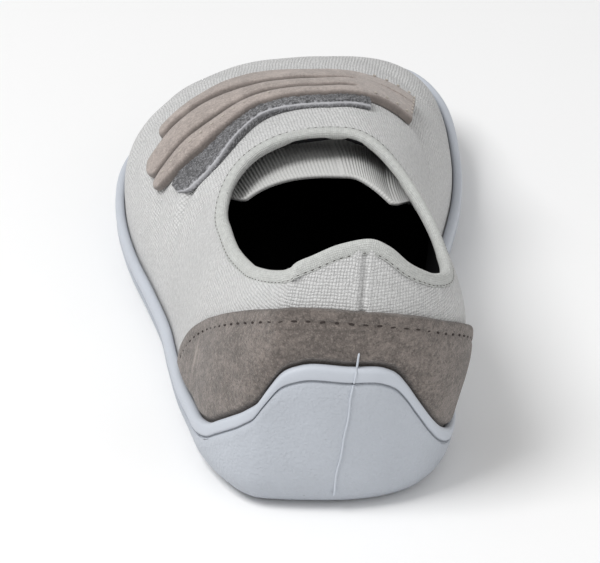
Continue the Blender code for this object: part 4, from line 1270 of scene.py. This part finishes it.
def make_binding(finishing, thread, sizes):
    """Collar edge: a folded strip of canvas, a rounded hook section carried round the collar."""
    closer = 0.03 * np.linspace(0, 1, 24) ** 2
    stations = np.unique(np.concatenate([
        np.linspace(-THROAT_END, THROAT_END, 301), THROAT_END - closer,
        -THROAT_END + closer]).round(7))[:-1]
    turn = collar_turn(stations)
    small = 1e-4
    rough = [surface(stations, turn, distance) for distance in (0.0, small)]
    rough = [np.concatenate([ring, ring[:1]]) for ring in rough]
    round_trip = arc_lengths(rough[0])
    even = np.arange(BINDING_SECTIONS) / BINDING_SECTIONS * round_trip[-1]
    edge, near = (at_lengths(ring, round_trip, even) for ring in rough)
    normal = (near - edge) / small
    tangent = unit(np.roll(edge, -4, axis=0) - np.roll(edge, 4, axis=0))
    rise = unit(np.cross(normal, tangent))
    rise *= np.sign(rise[:, 2].mean())
    normal = np.cross(tangent, rise)
    normal *= np.sign(np.sum(normal * (near - edge), axis=1, keepdims=True))
    section = np.array(BINDING_SECTION)
    wave = 1 + 0.10 * soft_noise(edge, 0.008, 41)[:, None, None]
    points = (edge[:, None] + normal[:, None] * section[None, :, :1] * wave
              + rise[:, None] * section[None, :, 1:])
    points = np.concatenate([points, points[:1]])
    run = arc_lengths(np.concatenate([edge, edge[:1]]))
    girth = arc_lengths(section)
    cloth = np.stack(np.broadcast_arrays(run[:, None], girth[None, :]), axis=-1)
    dark = np.zeros(len(section))
    dark[[0, 2]] = (0.55, 0.40)
    dark[-6:] = 0.6
    make_piece("collar_fold", points, grid_quads(*points.shape[:2], closed=True), finishing,
               "canvas", "collar_binding", cloth, shade=np.broadcast_to(dark, points.shape[:2]))
    out, up = BINDING_STITCH
    line = edge + normal * out + rise * up
    line = np.concatenate([line, line[:1]])
    pitch = sizes.collar_pitch
    places = (np.arange(int(arc_lengths(line)[-1] / pitch)) + 0.5) * pitch
    seats = along_line(line, np.concatenate([normal, normal[:1]]), places)
    make_piece("collar_stitches", *beads(*seats, pitch * 0.42, *BINDING_STITCH_SIZE), thread,
               "canvas")


# Tongue: how far its ribs and its hem stand up, and the hem's share of its length
RIB_HEIGHT = 0.00016
HEM_HEIGHT = 0.0003
HEM_SHARE = 0.012
# How far ahead of its free edge it opens away from the canvas, as stations, and by how much
OPENING_INSET = 0.005
OPENING_OVER = 0.035
OPENING_ROOM = 0.0010


def make_tongue(finishing, sizes):
    """Elastic tongue: a sheet under the collar's front with ribs square to its free edge."""
    first, last = TONGUE["sweep"][0], TONGUE["sweep"][-1]
    sweep = np.linspace(first - TONGUE_TAIL, last + TONGUE_TAIL, 481)
    shares = np.linspace(0, 1, 35)
    rear = table_value(TONGUE, "rear", sweep)
    station = rear[:, None] + (TONGUE_FRONT - rear)[:, None] * shares[None, :]
    grid = repeated(sweep, len(shares))
    open_part = ease((TONGUE_FRONT - OPENING_INSET - station) / OPENING_OVER)
    middle = np.maximum(1 - ((grid - 90) / (90 - first)) ** 2, 0)
    held = ease((np.abs(grid - 90) - (90 - first) + 4) / (TONGUE_TAIL + 2))
    station = station + 0.02 * held * (1 - shares[None, :])
    open_part = open_part * (1 - held)
    past_binding = BINDING_SLACK + BINDING_THICKNESS + 2 * GAP
    room = past_binding + OPENING_ROOM + TONGUE_DROP * middle
    depth = UPPER_WALL + 2 * GAP + open_part * room
    run = arc_lengths(over_crown(station[:, 0], sweep, -depth[:, 0]))
    rib = np.sin(2 * math.pi * run / sizes.rib_pitch)
    near_edge = np.exp(-shares[None, :] / HEM_SHARE)
    lift = RIB_HEIGHT * rib[:, None] * (1 - near_edge) + HEM_HEIGHT * near_edge
    top = over_crown(station, grid, -depth + lift)
    under = over_crown(station, grid, -depth - TONGUE_THICKNESS + HEM_HEIGHT)
    length = np.linalg.norm(np.diff(top, axis=1), axis=2).mean(axis=0)
    cloth = np.stack(np.broadcast_arrays(run[:, None],
                                         np.append(0, np.cumsum(length))[None, :]), axis=-1)
    groove = repeated(np.clip(-rib, 0, 1), len(shares))
    make_piece("ribbed_tongue", *slab(top, under), finishing, "elastic", "elastic_tongue",
               np.concatenate([cloth, cloth]), shade=both_sides(groove))


# Woven band along the pad's rear: its width, the width of its fade, and how much flatter it is
BAND_WIDTH = 0.0009
BAND_FADE = 0.0004
BAND_FLATTER = 0.30
# Where the pad's rear edge curls up: sweep and half width in degrees, height and reach in metres
CURL_SWEEP = 68
CURL_WIDTH = 13
CURL_HEIGHT = 0.0013
CURL_REACH = 0.0035
# Loose fibres of the pad: how many, their lengths and their thickness
FIBRES = 2600
FIBRE_LENGTHS = (0.0006, 0.0012)
FIBRE_THICKNESS = 0.00009


def make_pad(finishing):
    """Loop pad: a strip over the crown with a woolly top and a flat woven band at its rear."""
    first, last = PAD["sweep"][0], PAD["sweep"][-1]
    sweep = np.linspace(first, last, 261)
    shares = np.concatenate([np.linspace(0, 0.1, 6), np.linspace(0.1, 0.9, 26)[1:-1],
                             np.linspace(0.9, 1, 6)])
    rear, front = (table_value(PAD, name, sweep)[:, None] for name in ("rear", "front"))
    station = rear + (front - rear) * shares[None, :]
    grid = repeated(sweep, len(shares))
    ground = over_crown(station, grid)
    width = np.linalg.norm(ground[:, -1] - ground[:, 0], axis=1)[:, None]
    from_rear = shares[None, :] * width
    to_side = np.minimum(from_rear, (1 - shares[None, :]) * width)
    run = arc_lengths(ground[:, len(shares) // 2])[:, None]
    to_edge = np.minimum(to_side, np.minimum(run, run[-1] - run))
    band = 1 - ease((from_rear - BAND_WIDTH) / BAND_FADE)
    wool = unevenness(ground, PAD_WAVES)
    lifted = (CURL_HEIGHT * bell(sweep[:, None] - CURL_SWEEP, CURL_WIDTH)
              * np.exp(-from_rear / CURL_REACH))
    height = (0.0002 + (PAD_THICKNESS * (1 - BAND_FLATTER * band) + wool * (1 - band))
              * rounded(to_edge, 0.0006) + lifted)
    frayed = from_rear + 0.00045 * soft_noise(ground, 0.0005, 57)
    band = (1 - ease((frayed - 0.0006) / 0.0005)) * ease(from_rear / 0.0003)
    make_piece("woolly_pad", *slab(over_crown(station, grid, height),
                                   over_crown(station, grid, 0.0001)),
               finishing, "loop_pile", "loop_pad", band=both_sides(band))
    spread = np.random.default_rng(7)
    at = spread.uniform(first + 1, last - 1, FIBRES)
    across = spread.uniform(0.12, 0.99, FIBRES)
    low, far = table_value(PAD, "rear", at), table_value(PAD, "front", at)
    station = low + (far - low) * across
    root = over_crown(station, at, PAD_THICKNESS - 0.0001)
    up = unit(root - over_crown(station, at))
    lean = unit(up + spread.normal(0, 0.9, (FIBRES, 3)))
    side = unit(np.cross(lean, up + 0.01))
    long = spread.uniform(*FIBRE_LENGTHS, FIBRES)
    points, quads = beads(root + up * 0.0002, lean, side, long, FIBRE_THICKNESS, FIBRE_THICKNESS)
    pale = spread.uniform(0, 0.7, FIBRES) ** 2
    make_piece("pad_fibres", points, quads, finishing, "loop_pile",
               band=np.repeat(pale, len(points) // FIBRES))


# Edges of the strap and of its slots, from the rear, and each slot's half width at the tips
STRAP_EDGES = ("rear", "slot_2_3", "slot_1_2", "front")
SLOT_HALF = (0.0011, 0.0030)
# Over how many degrees a slot closes, and the fingers then join into the base
SLOT_CLOSING = 16
BASE_JOINING = 7
# Radius of a finger's edge, and the height of its soft crown over its flat middle
STRAP_ROUND = 0.0011
STRAP_PUFF = 0.00035
# The base's stitches: their inset from its sides as a share, and from its end in degrees
BASE_INSET = 0.07
BASE_END = 2.2


def finger_grid(finger, shares):
    """Stations and sweeps of one finger, and how far each point has joined its neighbours."""
    end = STRAP["sweep"][-1]
    bend = 1 - np.sqrt(1 - np.clip(2 * shares - 1, -1, 1) ** 2)
    start = FINGER_TIPS[finger] + TIP_ROUND * bend
    rise = np.linspace(0, 1, 250) ** 1.15
    sweep = start[None, :] + (end - start)[None, :] * rise[:, None]
    first, last = (table_value(STRAP, name, sweep) for name in STRAP_EDGES[finger:finger + 2])
    closing = ease((SLOT_END - sweep) / SLOT_CLOSING)
    if finger > 0:
        first = first + SLOT_HALF[finger - 1] * closing
    if finger < 2:
        last = last - SLOT_HALF[finger] * closing
    joined = 1 - ease((SLOT_END + 4 - sweep) / BASE_JOINING)
    return first + (last - first) * shares[None, :], sweep, joined


def strap_row(first, last, share, sweep):
    """Stations between two of the strap's edges at a share of the way."""
    low, far = table_value(STRAP, first, sweep), table_value(STRAP, last, sweep)
    return low + (far - low) * share, sweep


def make_strap(finishing, thread, sizes):
    """Strap: each finger a strip over the crown from its round tip to the common base."""
    shares = np.concatenate([np.linspace(0, 0.22, 9), np.linspace(0.22, 0.78, 12)[1:-1],
                             np.linspace(0.78, 1, 9)])
    for finger in range(3):
        station, sweep, joined = finger_grid(finger, shares)
        ground = over_crown(station, sweep)
        width = np.linalg.norm(ground[:, -1] - ground[:, 0], axis=1)[:, None]
        steps = np.linalg.norm(np.diff(ground, axis=0), axis=2)
        run = np.concatenate([np.zeros((1, len(shares))), np.cumsum(steps, axis=0)])
        rear = shares[None, :] * width + joined * 0.01 * (finger > 0)
        fore = (1 - shares[None, :]) * width + joined * 0.01 * (finger < 2)
        to_edge = np.minimum(np.minimum(rear, fore), np.minimum(run, run[-1:] - run))
        puff = STRAP_PUFF * np.clip(to_edge / 0.0025, 0, 1) * (1 - joined)
        soft = unevenness(ground, [(depth, size, seed + finger)
                                   for depth, size, seed in STRAP_WAVES])
        height = 0.0003 + (STRAP_THICKNESS - 0.0004 + puff + soft) * rounded(to_edge, STRAP_ROUND)
        wear = np.clip(soft_noise(ground, 0.0032, 71 + finger) - 0.35, 0, 1) * 0.35
        # Painted shade: each finger darkens towards its edges, for the shade in the slots between
        # the fingers.
        make_piece(f"strap_finger_{finger + 1}",
                   *slab(over_crown(station, sweep, height), over_crown(station, sweep, 0.00015)),
                   finishing, "strap_suede", "strap" if finger == 0 else None,
                   edge=both_sides(bell(to_edge, 0.00085)), wear=both_sides(wear))
    end = STRAP["sweep"][-1] - BASE_END
    base = np.linspace(SLOT_END + 3, end, 160)
    tip = np.linspace(FINGER_TIPS[0] + 5, 80, 120)
    rows = (strap_row("rear", "front", BASE_INSET, base),
            strap_row("rear", "front", 1 - BASE_INSET, base),
            strap_row("rear", "front", np.linspace(BASE_INSET, 1 - BASE_INSET, 60),
                      np.full(60, end)),
            strap_row("rear", "slot_2_3", 0.5, tip))
    spots, faces = [], []
    for station, sweep in rows:
        line = over_crown(station, sweep, STRAP_THICKNESS + 0.00032)
        seats = along_line(line, unit(line - over_crown(station, sweep)),
                           stitch_places(line, sizes.stitch_pitch))
        points, quads = beads(*seats, sizes.stitch_pitch * 0.30, 0.00055, 0.00060)
        faces.append(quads + sum(len(part) for part in spots))
        spots.append(points)
    make_piece("strap_stitches", np.concatenate(spots), np.concatenate(faces), thread,
               "strap_suede")


# Ends of the mould flash: height, and how far across the heel it stands there
FLASH_HEIGHTS = (0.0035, 0.0445)
FLASH_ACROSS = (0.0050, 0.0112)
FLASH_RADIUS = 0.00027


def make_flash(finishing):
    """Mould flash: a hair of rubber down the back of the heel, wavering a little."""
    height = np.linspace(*FLASH_HEIGHTS[::-1], 90)
    across = np.interp(height, FLASH_HEIGHTS, FLASH_ACROSS) + HEEL_ACROSS
    probe = np.linspace(-0.12, 0.16, 140)
    rim = rim_height(probe)
    line = []
    for level, spot in zip(height, across):
        on_wrap = GAP + wall_out(level, rim - LIP_BAND, rim) + 0.0001
        out = np.where(level > rim - 0.0004, COUNTER_THICKNESS + 0.0004, on_wrap)
        ring = place(last_point(probe, turn_at(probe, level), out))
        line.append([np.interp(spot, ring[:, 0], ring[:, k]) for k in range(3)])
    line = np.array(line)
    line[:, 0] += 0.00022 * np.sin(height * 420) * np.sin(height * 150)
    points, quads = tube(line, FLASH_RADIUS)
    # Smooth all over: no grain, and lighter rubber along the hair as painted highlight.
    make_piece("mould_flash", points, quads, finishing, "sole_rubber",
               smooth=np.ones(len(points)))


# Stage


# Half the floor's side, and the two colours of its faint clouds
FLOOR_HALF = 2.5
FLOOR_COLOURS = ((0.94, 0.94, 0.94, 1), (0.97, 0.97, 0.97, 1))
# Strength of the white surroundings
SURROUNDINGS = 0.50
# Lights: name, place, target, side in metres and power in watts
LIGHTS = (
    ("key", (-0.50, -0.28, 0.95), (0.0, 0.0, 0.02), 0.50, 7.5),
    ("fill", (0.75, -0.75, 0.60), (0.0, 0.0, 0.03), 0.90, 1.5),
)
# Camera: turn and height round the heel in degrees, distance, target and lens in millimetres
CAMERA_AZIMUTH = 2.7
CAMERA_ELEVATION = 33.2
CAMERA_DISTANCE = 0.95
CAMERA_TARGET = (0.003, -0.004, 0.008)
CAMERA_LENS = 232.0


def make_floor():
    """A wide pale floor, matt and nearly even."""
    half = FLOOR_HALF
    mesh = bpy.data.meshes.new("floor")
    mesh.from_pydata([(-half, -half, 0), (half, -half, 0), (half, half, 0), (-half, half, 0)], [],
                     [(0, 1, 2, 3)])
    floor = bpy.data.objects.new("floor", mesh)
    bpy.context.scene.collection.objects.link(floor)
    tree, inputs, where = new_material("floor", 0.85, Specular_IOR_Level=0.2)
    cloud = noise(tree, where["Object"], 6.0, 2.0)
    tree.links.new(mix(tree, cloud, *FLOOR_COLOURS), inputs["Base Color"])
    mesh.materials.append(finish("floor"))


def stand(name, data, position, target):
    """A light or camera at a place, turned to its target."""
    thing = bpy.data.objects.new(name, data)
    thing.location = position
    ray = thing.location - Vector(target)
    thing.rotation_euler = ray.to_track_quat("Z", "Y").to_euler()
    bpy.context.scene.collection.objects.link(thing)
    return thing


def make_lights():
    """White surroundings, a wide light from the upper left and a fill from the right."""
    world = bpy.data.worlds.new("surroundings")
    world.use_nodes = True
    back = world.node_tree.nodes["Background"]
    back.inputs[0].default_value = (1.0, 1.0, 1.0, 1.0)
    back.inputs[1].default_value = SURROUNDINGS
    bpy.context.scene.world = world
    for name, position, target, side, power in LIGHTS:
        lamp = bpy.data.lights.new(name, "AREA")
        lamp.size, lamp.energy = side, power
        stand(name, lamp, position, target)
    bpy.context.scene.view_settings.view_transform = "Standard"


def make_camera():
    """Camera behind and above the heel, looking along the shoe."""
    azimuth, elevation = math.radians(CAMERA_AZIMUTH), math.radians(CAMERA_ELEVATION)
    heel = Vector((HEEL_ACROSS, HEEL_ALONG, 0.0))
    back = Vector((math.sin(azimuth) * math.cos(elevation),
                   -math.cos(azimuth) * math.cos(elevation), math.sin(elevation)))
    camera = bpy.data.cameras.new("camera")
    camera.lens = CAMERA_LENS
    camera.clip_start = 0.05
    thing = stand("camera", camera, heel + back * CAMERA_DISTANCE, CAMERA_TARGET)
    bpy.context.scene.camera = thing

# Add-on


def colour_property(name, description, default):
    """A colour a user may change, in linear values."""
    return FloatVectorProperty(name=name, description=description, default=default, size=4,
                               min=0.0, max=1.0, subtype="COLOR")


class ShoeSizes(bpy.types.PropertyGroup):
    """Sizes of the shoe's fine structure."""

    weave_pitch: FloatProperty(
        name="Weave pitch", description="Distance from one canvas thread to the next",
        default=0.00086, min=0.0003, max=0.003, unit="LENGTH", precision=5)
    rib_pitch: FloatProperty(
        name="Rib pitch", description="Distance from one rib of the elastic to the next",
        default=0.00090, min=0.0005, max=0.004, unit="LENGTH", precision=5)
    stitch_pitch: FloatProperty(
        name="Stitch pitch", description="Length of one stitch and its gap on the suede",
        default=0.0034, min=0.001, max=0.006, unit="LENGTH", precision=5)
    collar_pitch: FloatProperty(
        name="Collar stitch pitch", description="Length of one stitch and its gap at the collar",
        default=0.0019, min=0.001, max=0.006, unit="LENGTH", precision=5)
    rubber_grain: FloatProperty(
        name="Rubber grain", description="Grains of the moulded rubber in one metre",
        default=1500.0, min=200.0, max=4000.0)


class ShoeColours(bpy.types.PropertyGroup):
    """Colours of the shoe's cloth, suede, rubber and threads."""

    sole: colour_property("Sole", "Moulded rubber of the cup sole", (0.500, 0.530, 0.580, 1))
    canvas: colour_property("Canvas", "Woven upper", (0.735, 0.735, 0.730, 1))
    collar: colour_property("Collar", "Folded collar edge", (0.610, 0.620, 0.600, 1))
    lining: colour_property("Lining", "Inside of the shoe", (0.006, 0.006, 0.007, 1))
    counter: colour_property("Counter", "Suede of the heel", (0.182, 0.156, 0.140, 1))
    strap: colour_property("Strap", "Suede of the strap", (0.370, 0.318, 0.290, 1))
    pile: colour_property("Pile", "Woolly side of the loop pad", (0.145, 0.145, 0.152, 1))
    elastic: colour_property("Elastic", "Ribbed tongue", (0.660, 0.660, 0.645, 1))
    dark_thread: colour_property("Dark thread", "Stitches of the heel and collar",
                                 (0.045, 0.035, 0.032, 1))
    pale_thread: colour_property("Pale thread", "Stitches of the strap",
                                 (0.500, 0.460, 0.410, 1))


class ShoeOperator:
    """What every step shares: its options and the shoe's settings."""

    bl_options = {"REGISTER", "UNDO"}

    def settings(self, context):
        """The shoe's sizes and colours."""
        return context.scene.shoe_sizes, context.scene.shoe_colours


class SHOE_OT_finishes(ShoeOperator, bpy.types.Operator):
    """Make the finishes: canvas, lining, suede, rubber, pile, elastic and threads"""

    bl_idname = "shoe.finishes"
    bl_label = "Finishes"

    def execute(self, context):
        """Runs the step."""
        sizes, colours = self.settings(context)
        weave_group()
        nap_group()
        rubber_group()
        dust_group()
        canvas_material("woven_canvas", colours.canvas, sizes.weave_pitch, 0.36, 0.00040)
        canvas_material("fine_canvas", colours.collar, sizes.weave_pitch * 0.6, 0.25, 0.00018)
        lining_material(colours.lining)
        suede_material("heel_suede", colours.counter, 2600.0, 85.0, 0.24, 0.00045, 0.75)
        suede_material("finger_suede", colours.strap, 3200.0, 120.0, 0.12, 0.00022, 0.45)
        rubber_material(colours.sole, sizes.rubber_grain)
        pile_material(colours.pile)
        elastic_material(colours.elastic)
        thread_material("dark_thread", colours.dark_thread)
        thread_material("pale_thread", colours.pale_thread)
        return {"FINISHED"}


class SHOE_OT_sole(ShoeOperator, bpy.types.Operator):
    """Make the cup sole, its tread, the mould flash and the insole"""

    bl_idname = "shoe.sole"
    bl_label = "Sole"

    def execute(self, context):
        """Runs the step."""
        make_cup(finish("moulded_rubber"))
        make_tread(finish("moulded_rubber"))
        make_flash(finish("moulded_rubber"))
        make_insole(finish("dark_lining"))
        return {"FINISHED"}


class SHOE_OT_canvas(ShoeOperator, bpy.types.Operator):
    """Make the canvas upper and its lining"""

    bl_idname = "shoe.canvas"
    bl_label = "Canvas"

    def execute(self, context):
        """Runs the step."""
        make_canvas(finish("woven_canvas"))
        make_lining(finish("dark_lining"))
        return {"FINISHED"}


class SHOE_OT_counter(ShoeOperator, bpy.types.Operator):
    """Make the suede heel counter and its stitches"""

    bl_idname = "shoe.counter"
    bl_label = "Heel counter"

    def execute(self, context):
        """Runs the step."""
        sizes, _ = self.settings(context)
        make_counter(finish("heel_suede"), finish("dark_thread"), sizes)
        return {"FINISHED"}


class SHOE_OT_collar(ShoeOperator, bpy.types.Operator):
    """Make the folded collar edge and its stitches"""

    bl_idname = "shoe.collar"
    bl_label = "Collar"

    def execute(self, context):
        """Runs the step."""
        sizes, _ = self.settings(context)
        make_binding(finish("fine_canvas"), finish("dark_thread"), sizes)
        return {"FINISHED"}


class SHOE_OT_tongue(ShoeOperator, bpy.types.Operator):
    """Make the ribbed elastic tongue"""

    bl_idname = "shoe.tongue"
    bl_label = "Elastic tongue"

    def execute(self, context):
        """Runs the step."""
        sizes, _ = self.settings(context)
        make_tongue(finish("ribbed_elastic"), sizes)
        return {"FINISHED"}


class SHOE_OT_pad(ShoeOperator, bpy.types.Operator):
    """Make the loop pad and its loose fibres"""

    bl_idname = "shoe.pad"
    bl_label = "Loop pad"

    def execute(self, context):
        """Runs the step."""
        make_pad(finish("woolly_pile"))
        return {"FINISHED"}


class SHOE_OT_strap(ShoeOperator, bpy.types.Operator):
    """Make the three-finger suede strap and its stitches"""

    bl_idname = "shoe.strap"
    bl_label = "Strap"

    def execute(self, context):
        """Runs the step."""
        sizes, _ = self.settings(context)
        make_strap(finish("finger_suede"), finish("pale_thread"), sizes)
        return {"FINISHED"}


class SHOE_OT_stage(ShoeOperator, bpy.types.Operator):
    """Make the pale floor, the soft lights and the camera"""

    bl_idname = "shoe.stage"
    bl_label = "Stage"

    def execute(self, context):
        """Runs the step."""
        make_floor()
        make_lights()
        make_camera()
        return {"FINISHED"}


STEPS = (SHOE_OT_finishes, SHOE_OT_sole, SHOE_OT_canvas, SHOE_OT_counter, SHOE_OT_collar,
         SHOE_OT_tongue, SHOE_OT_pad, SHOE_OT_strap, SHOE_OT_stage)


class SHOE_PT_panel(bpy.types.Panel):
    """Settings and steps of the shoe"""

    bl_label = "Barefoot shoe"
    bl_space_type = "VIEW_3D"
    bl_region_type = "UI"
    bl_category = "Shoe"

    def draw(self, context):
        """Lists the settings and the steps."""
        layout = self.layout
        for group in (context.scene.shoe_sizes, context.scene.shoe_colours):
            box = layout.box()
            for key in group.__annotations__:
                box.prop(group, key)
        for step in STEPS:
            layout.operator(step.bl_idname)


CLASSES = (ShoeSizes, ShoeColours, *STEPS, SHOE_PT_panel)


def register():
    """Adds the classes and the scene's settings."""
    for item in CLASSES:
        bpy.utils.register_class(item)
    bpy.types.Scene.shoe_sizes = PointerProperty(type=ShoeSizes)
    bpy.types.Scene.shoe_colours = PointerProperty(type=ShoeColours)


def unregister():
    """Takes the settings and the classes away again."""
    del bpy.types.Scene.shoe_sizes
    del bpy.types.Scene.shoe_colours
    for item in reversed(CLASSES):
        bpy.utils.unregister_class(item)


def main():
    """Makes every piece in order."""
    register()
    bpy.ops.shoe.finishes()
    bpy.ops.shoe.sole()
    bpy.ops.shoe.canvas()
    bpy.ops.shoe.counter()
    bpy.ops.shoe.collar()
    bpy.ops.shoe.tongue()
    bpy.ops.shoe.pad()
    bpy.ops.shoe.strap()
    bpy.ops.shoe.stage()


if __name__ == "__main__":
    main()
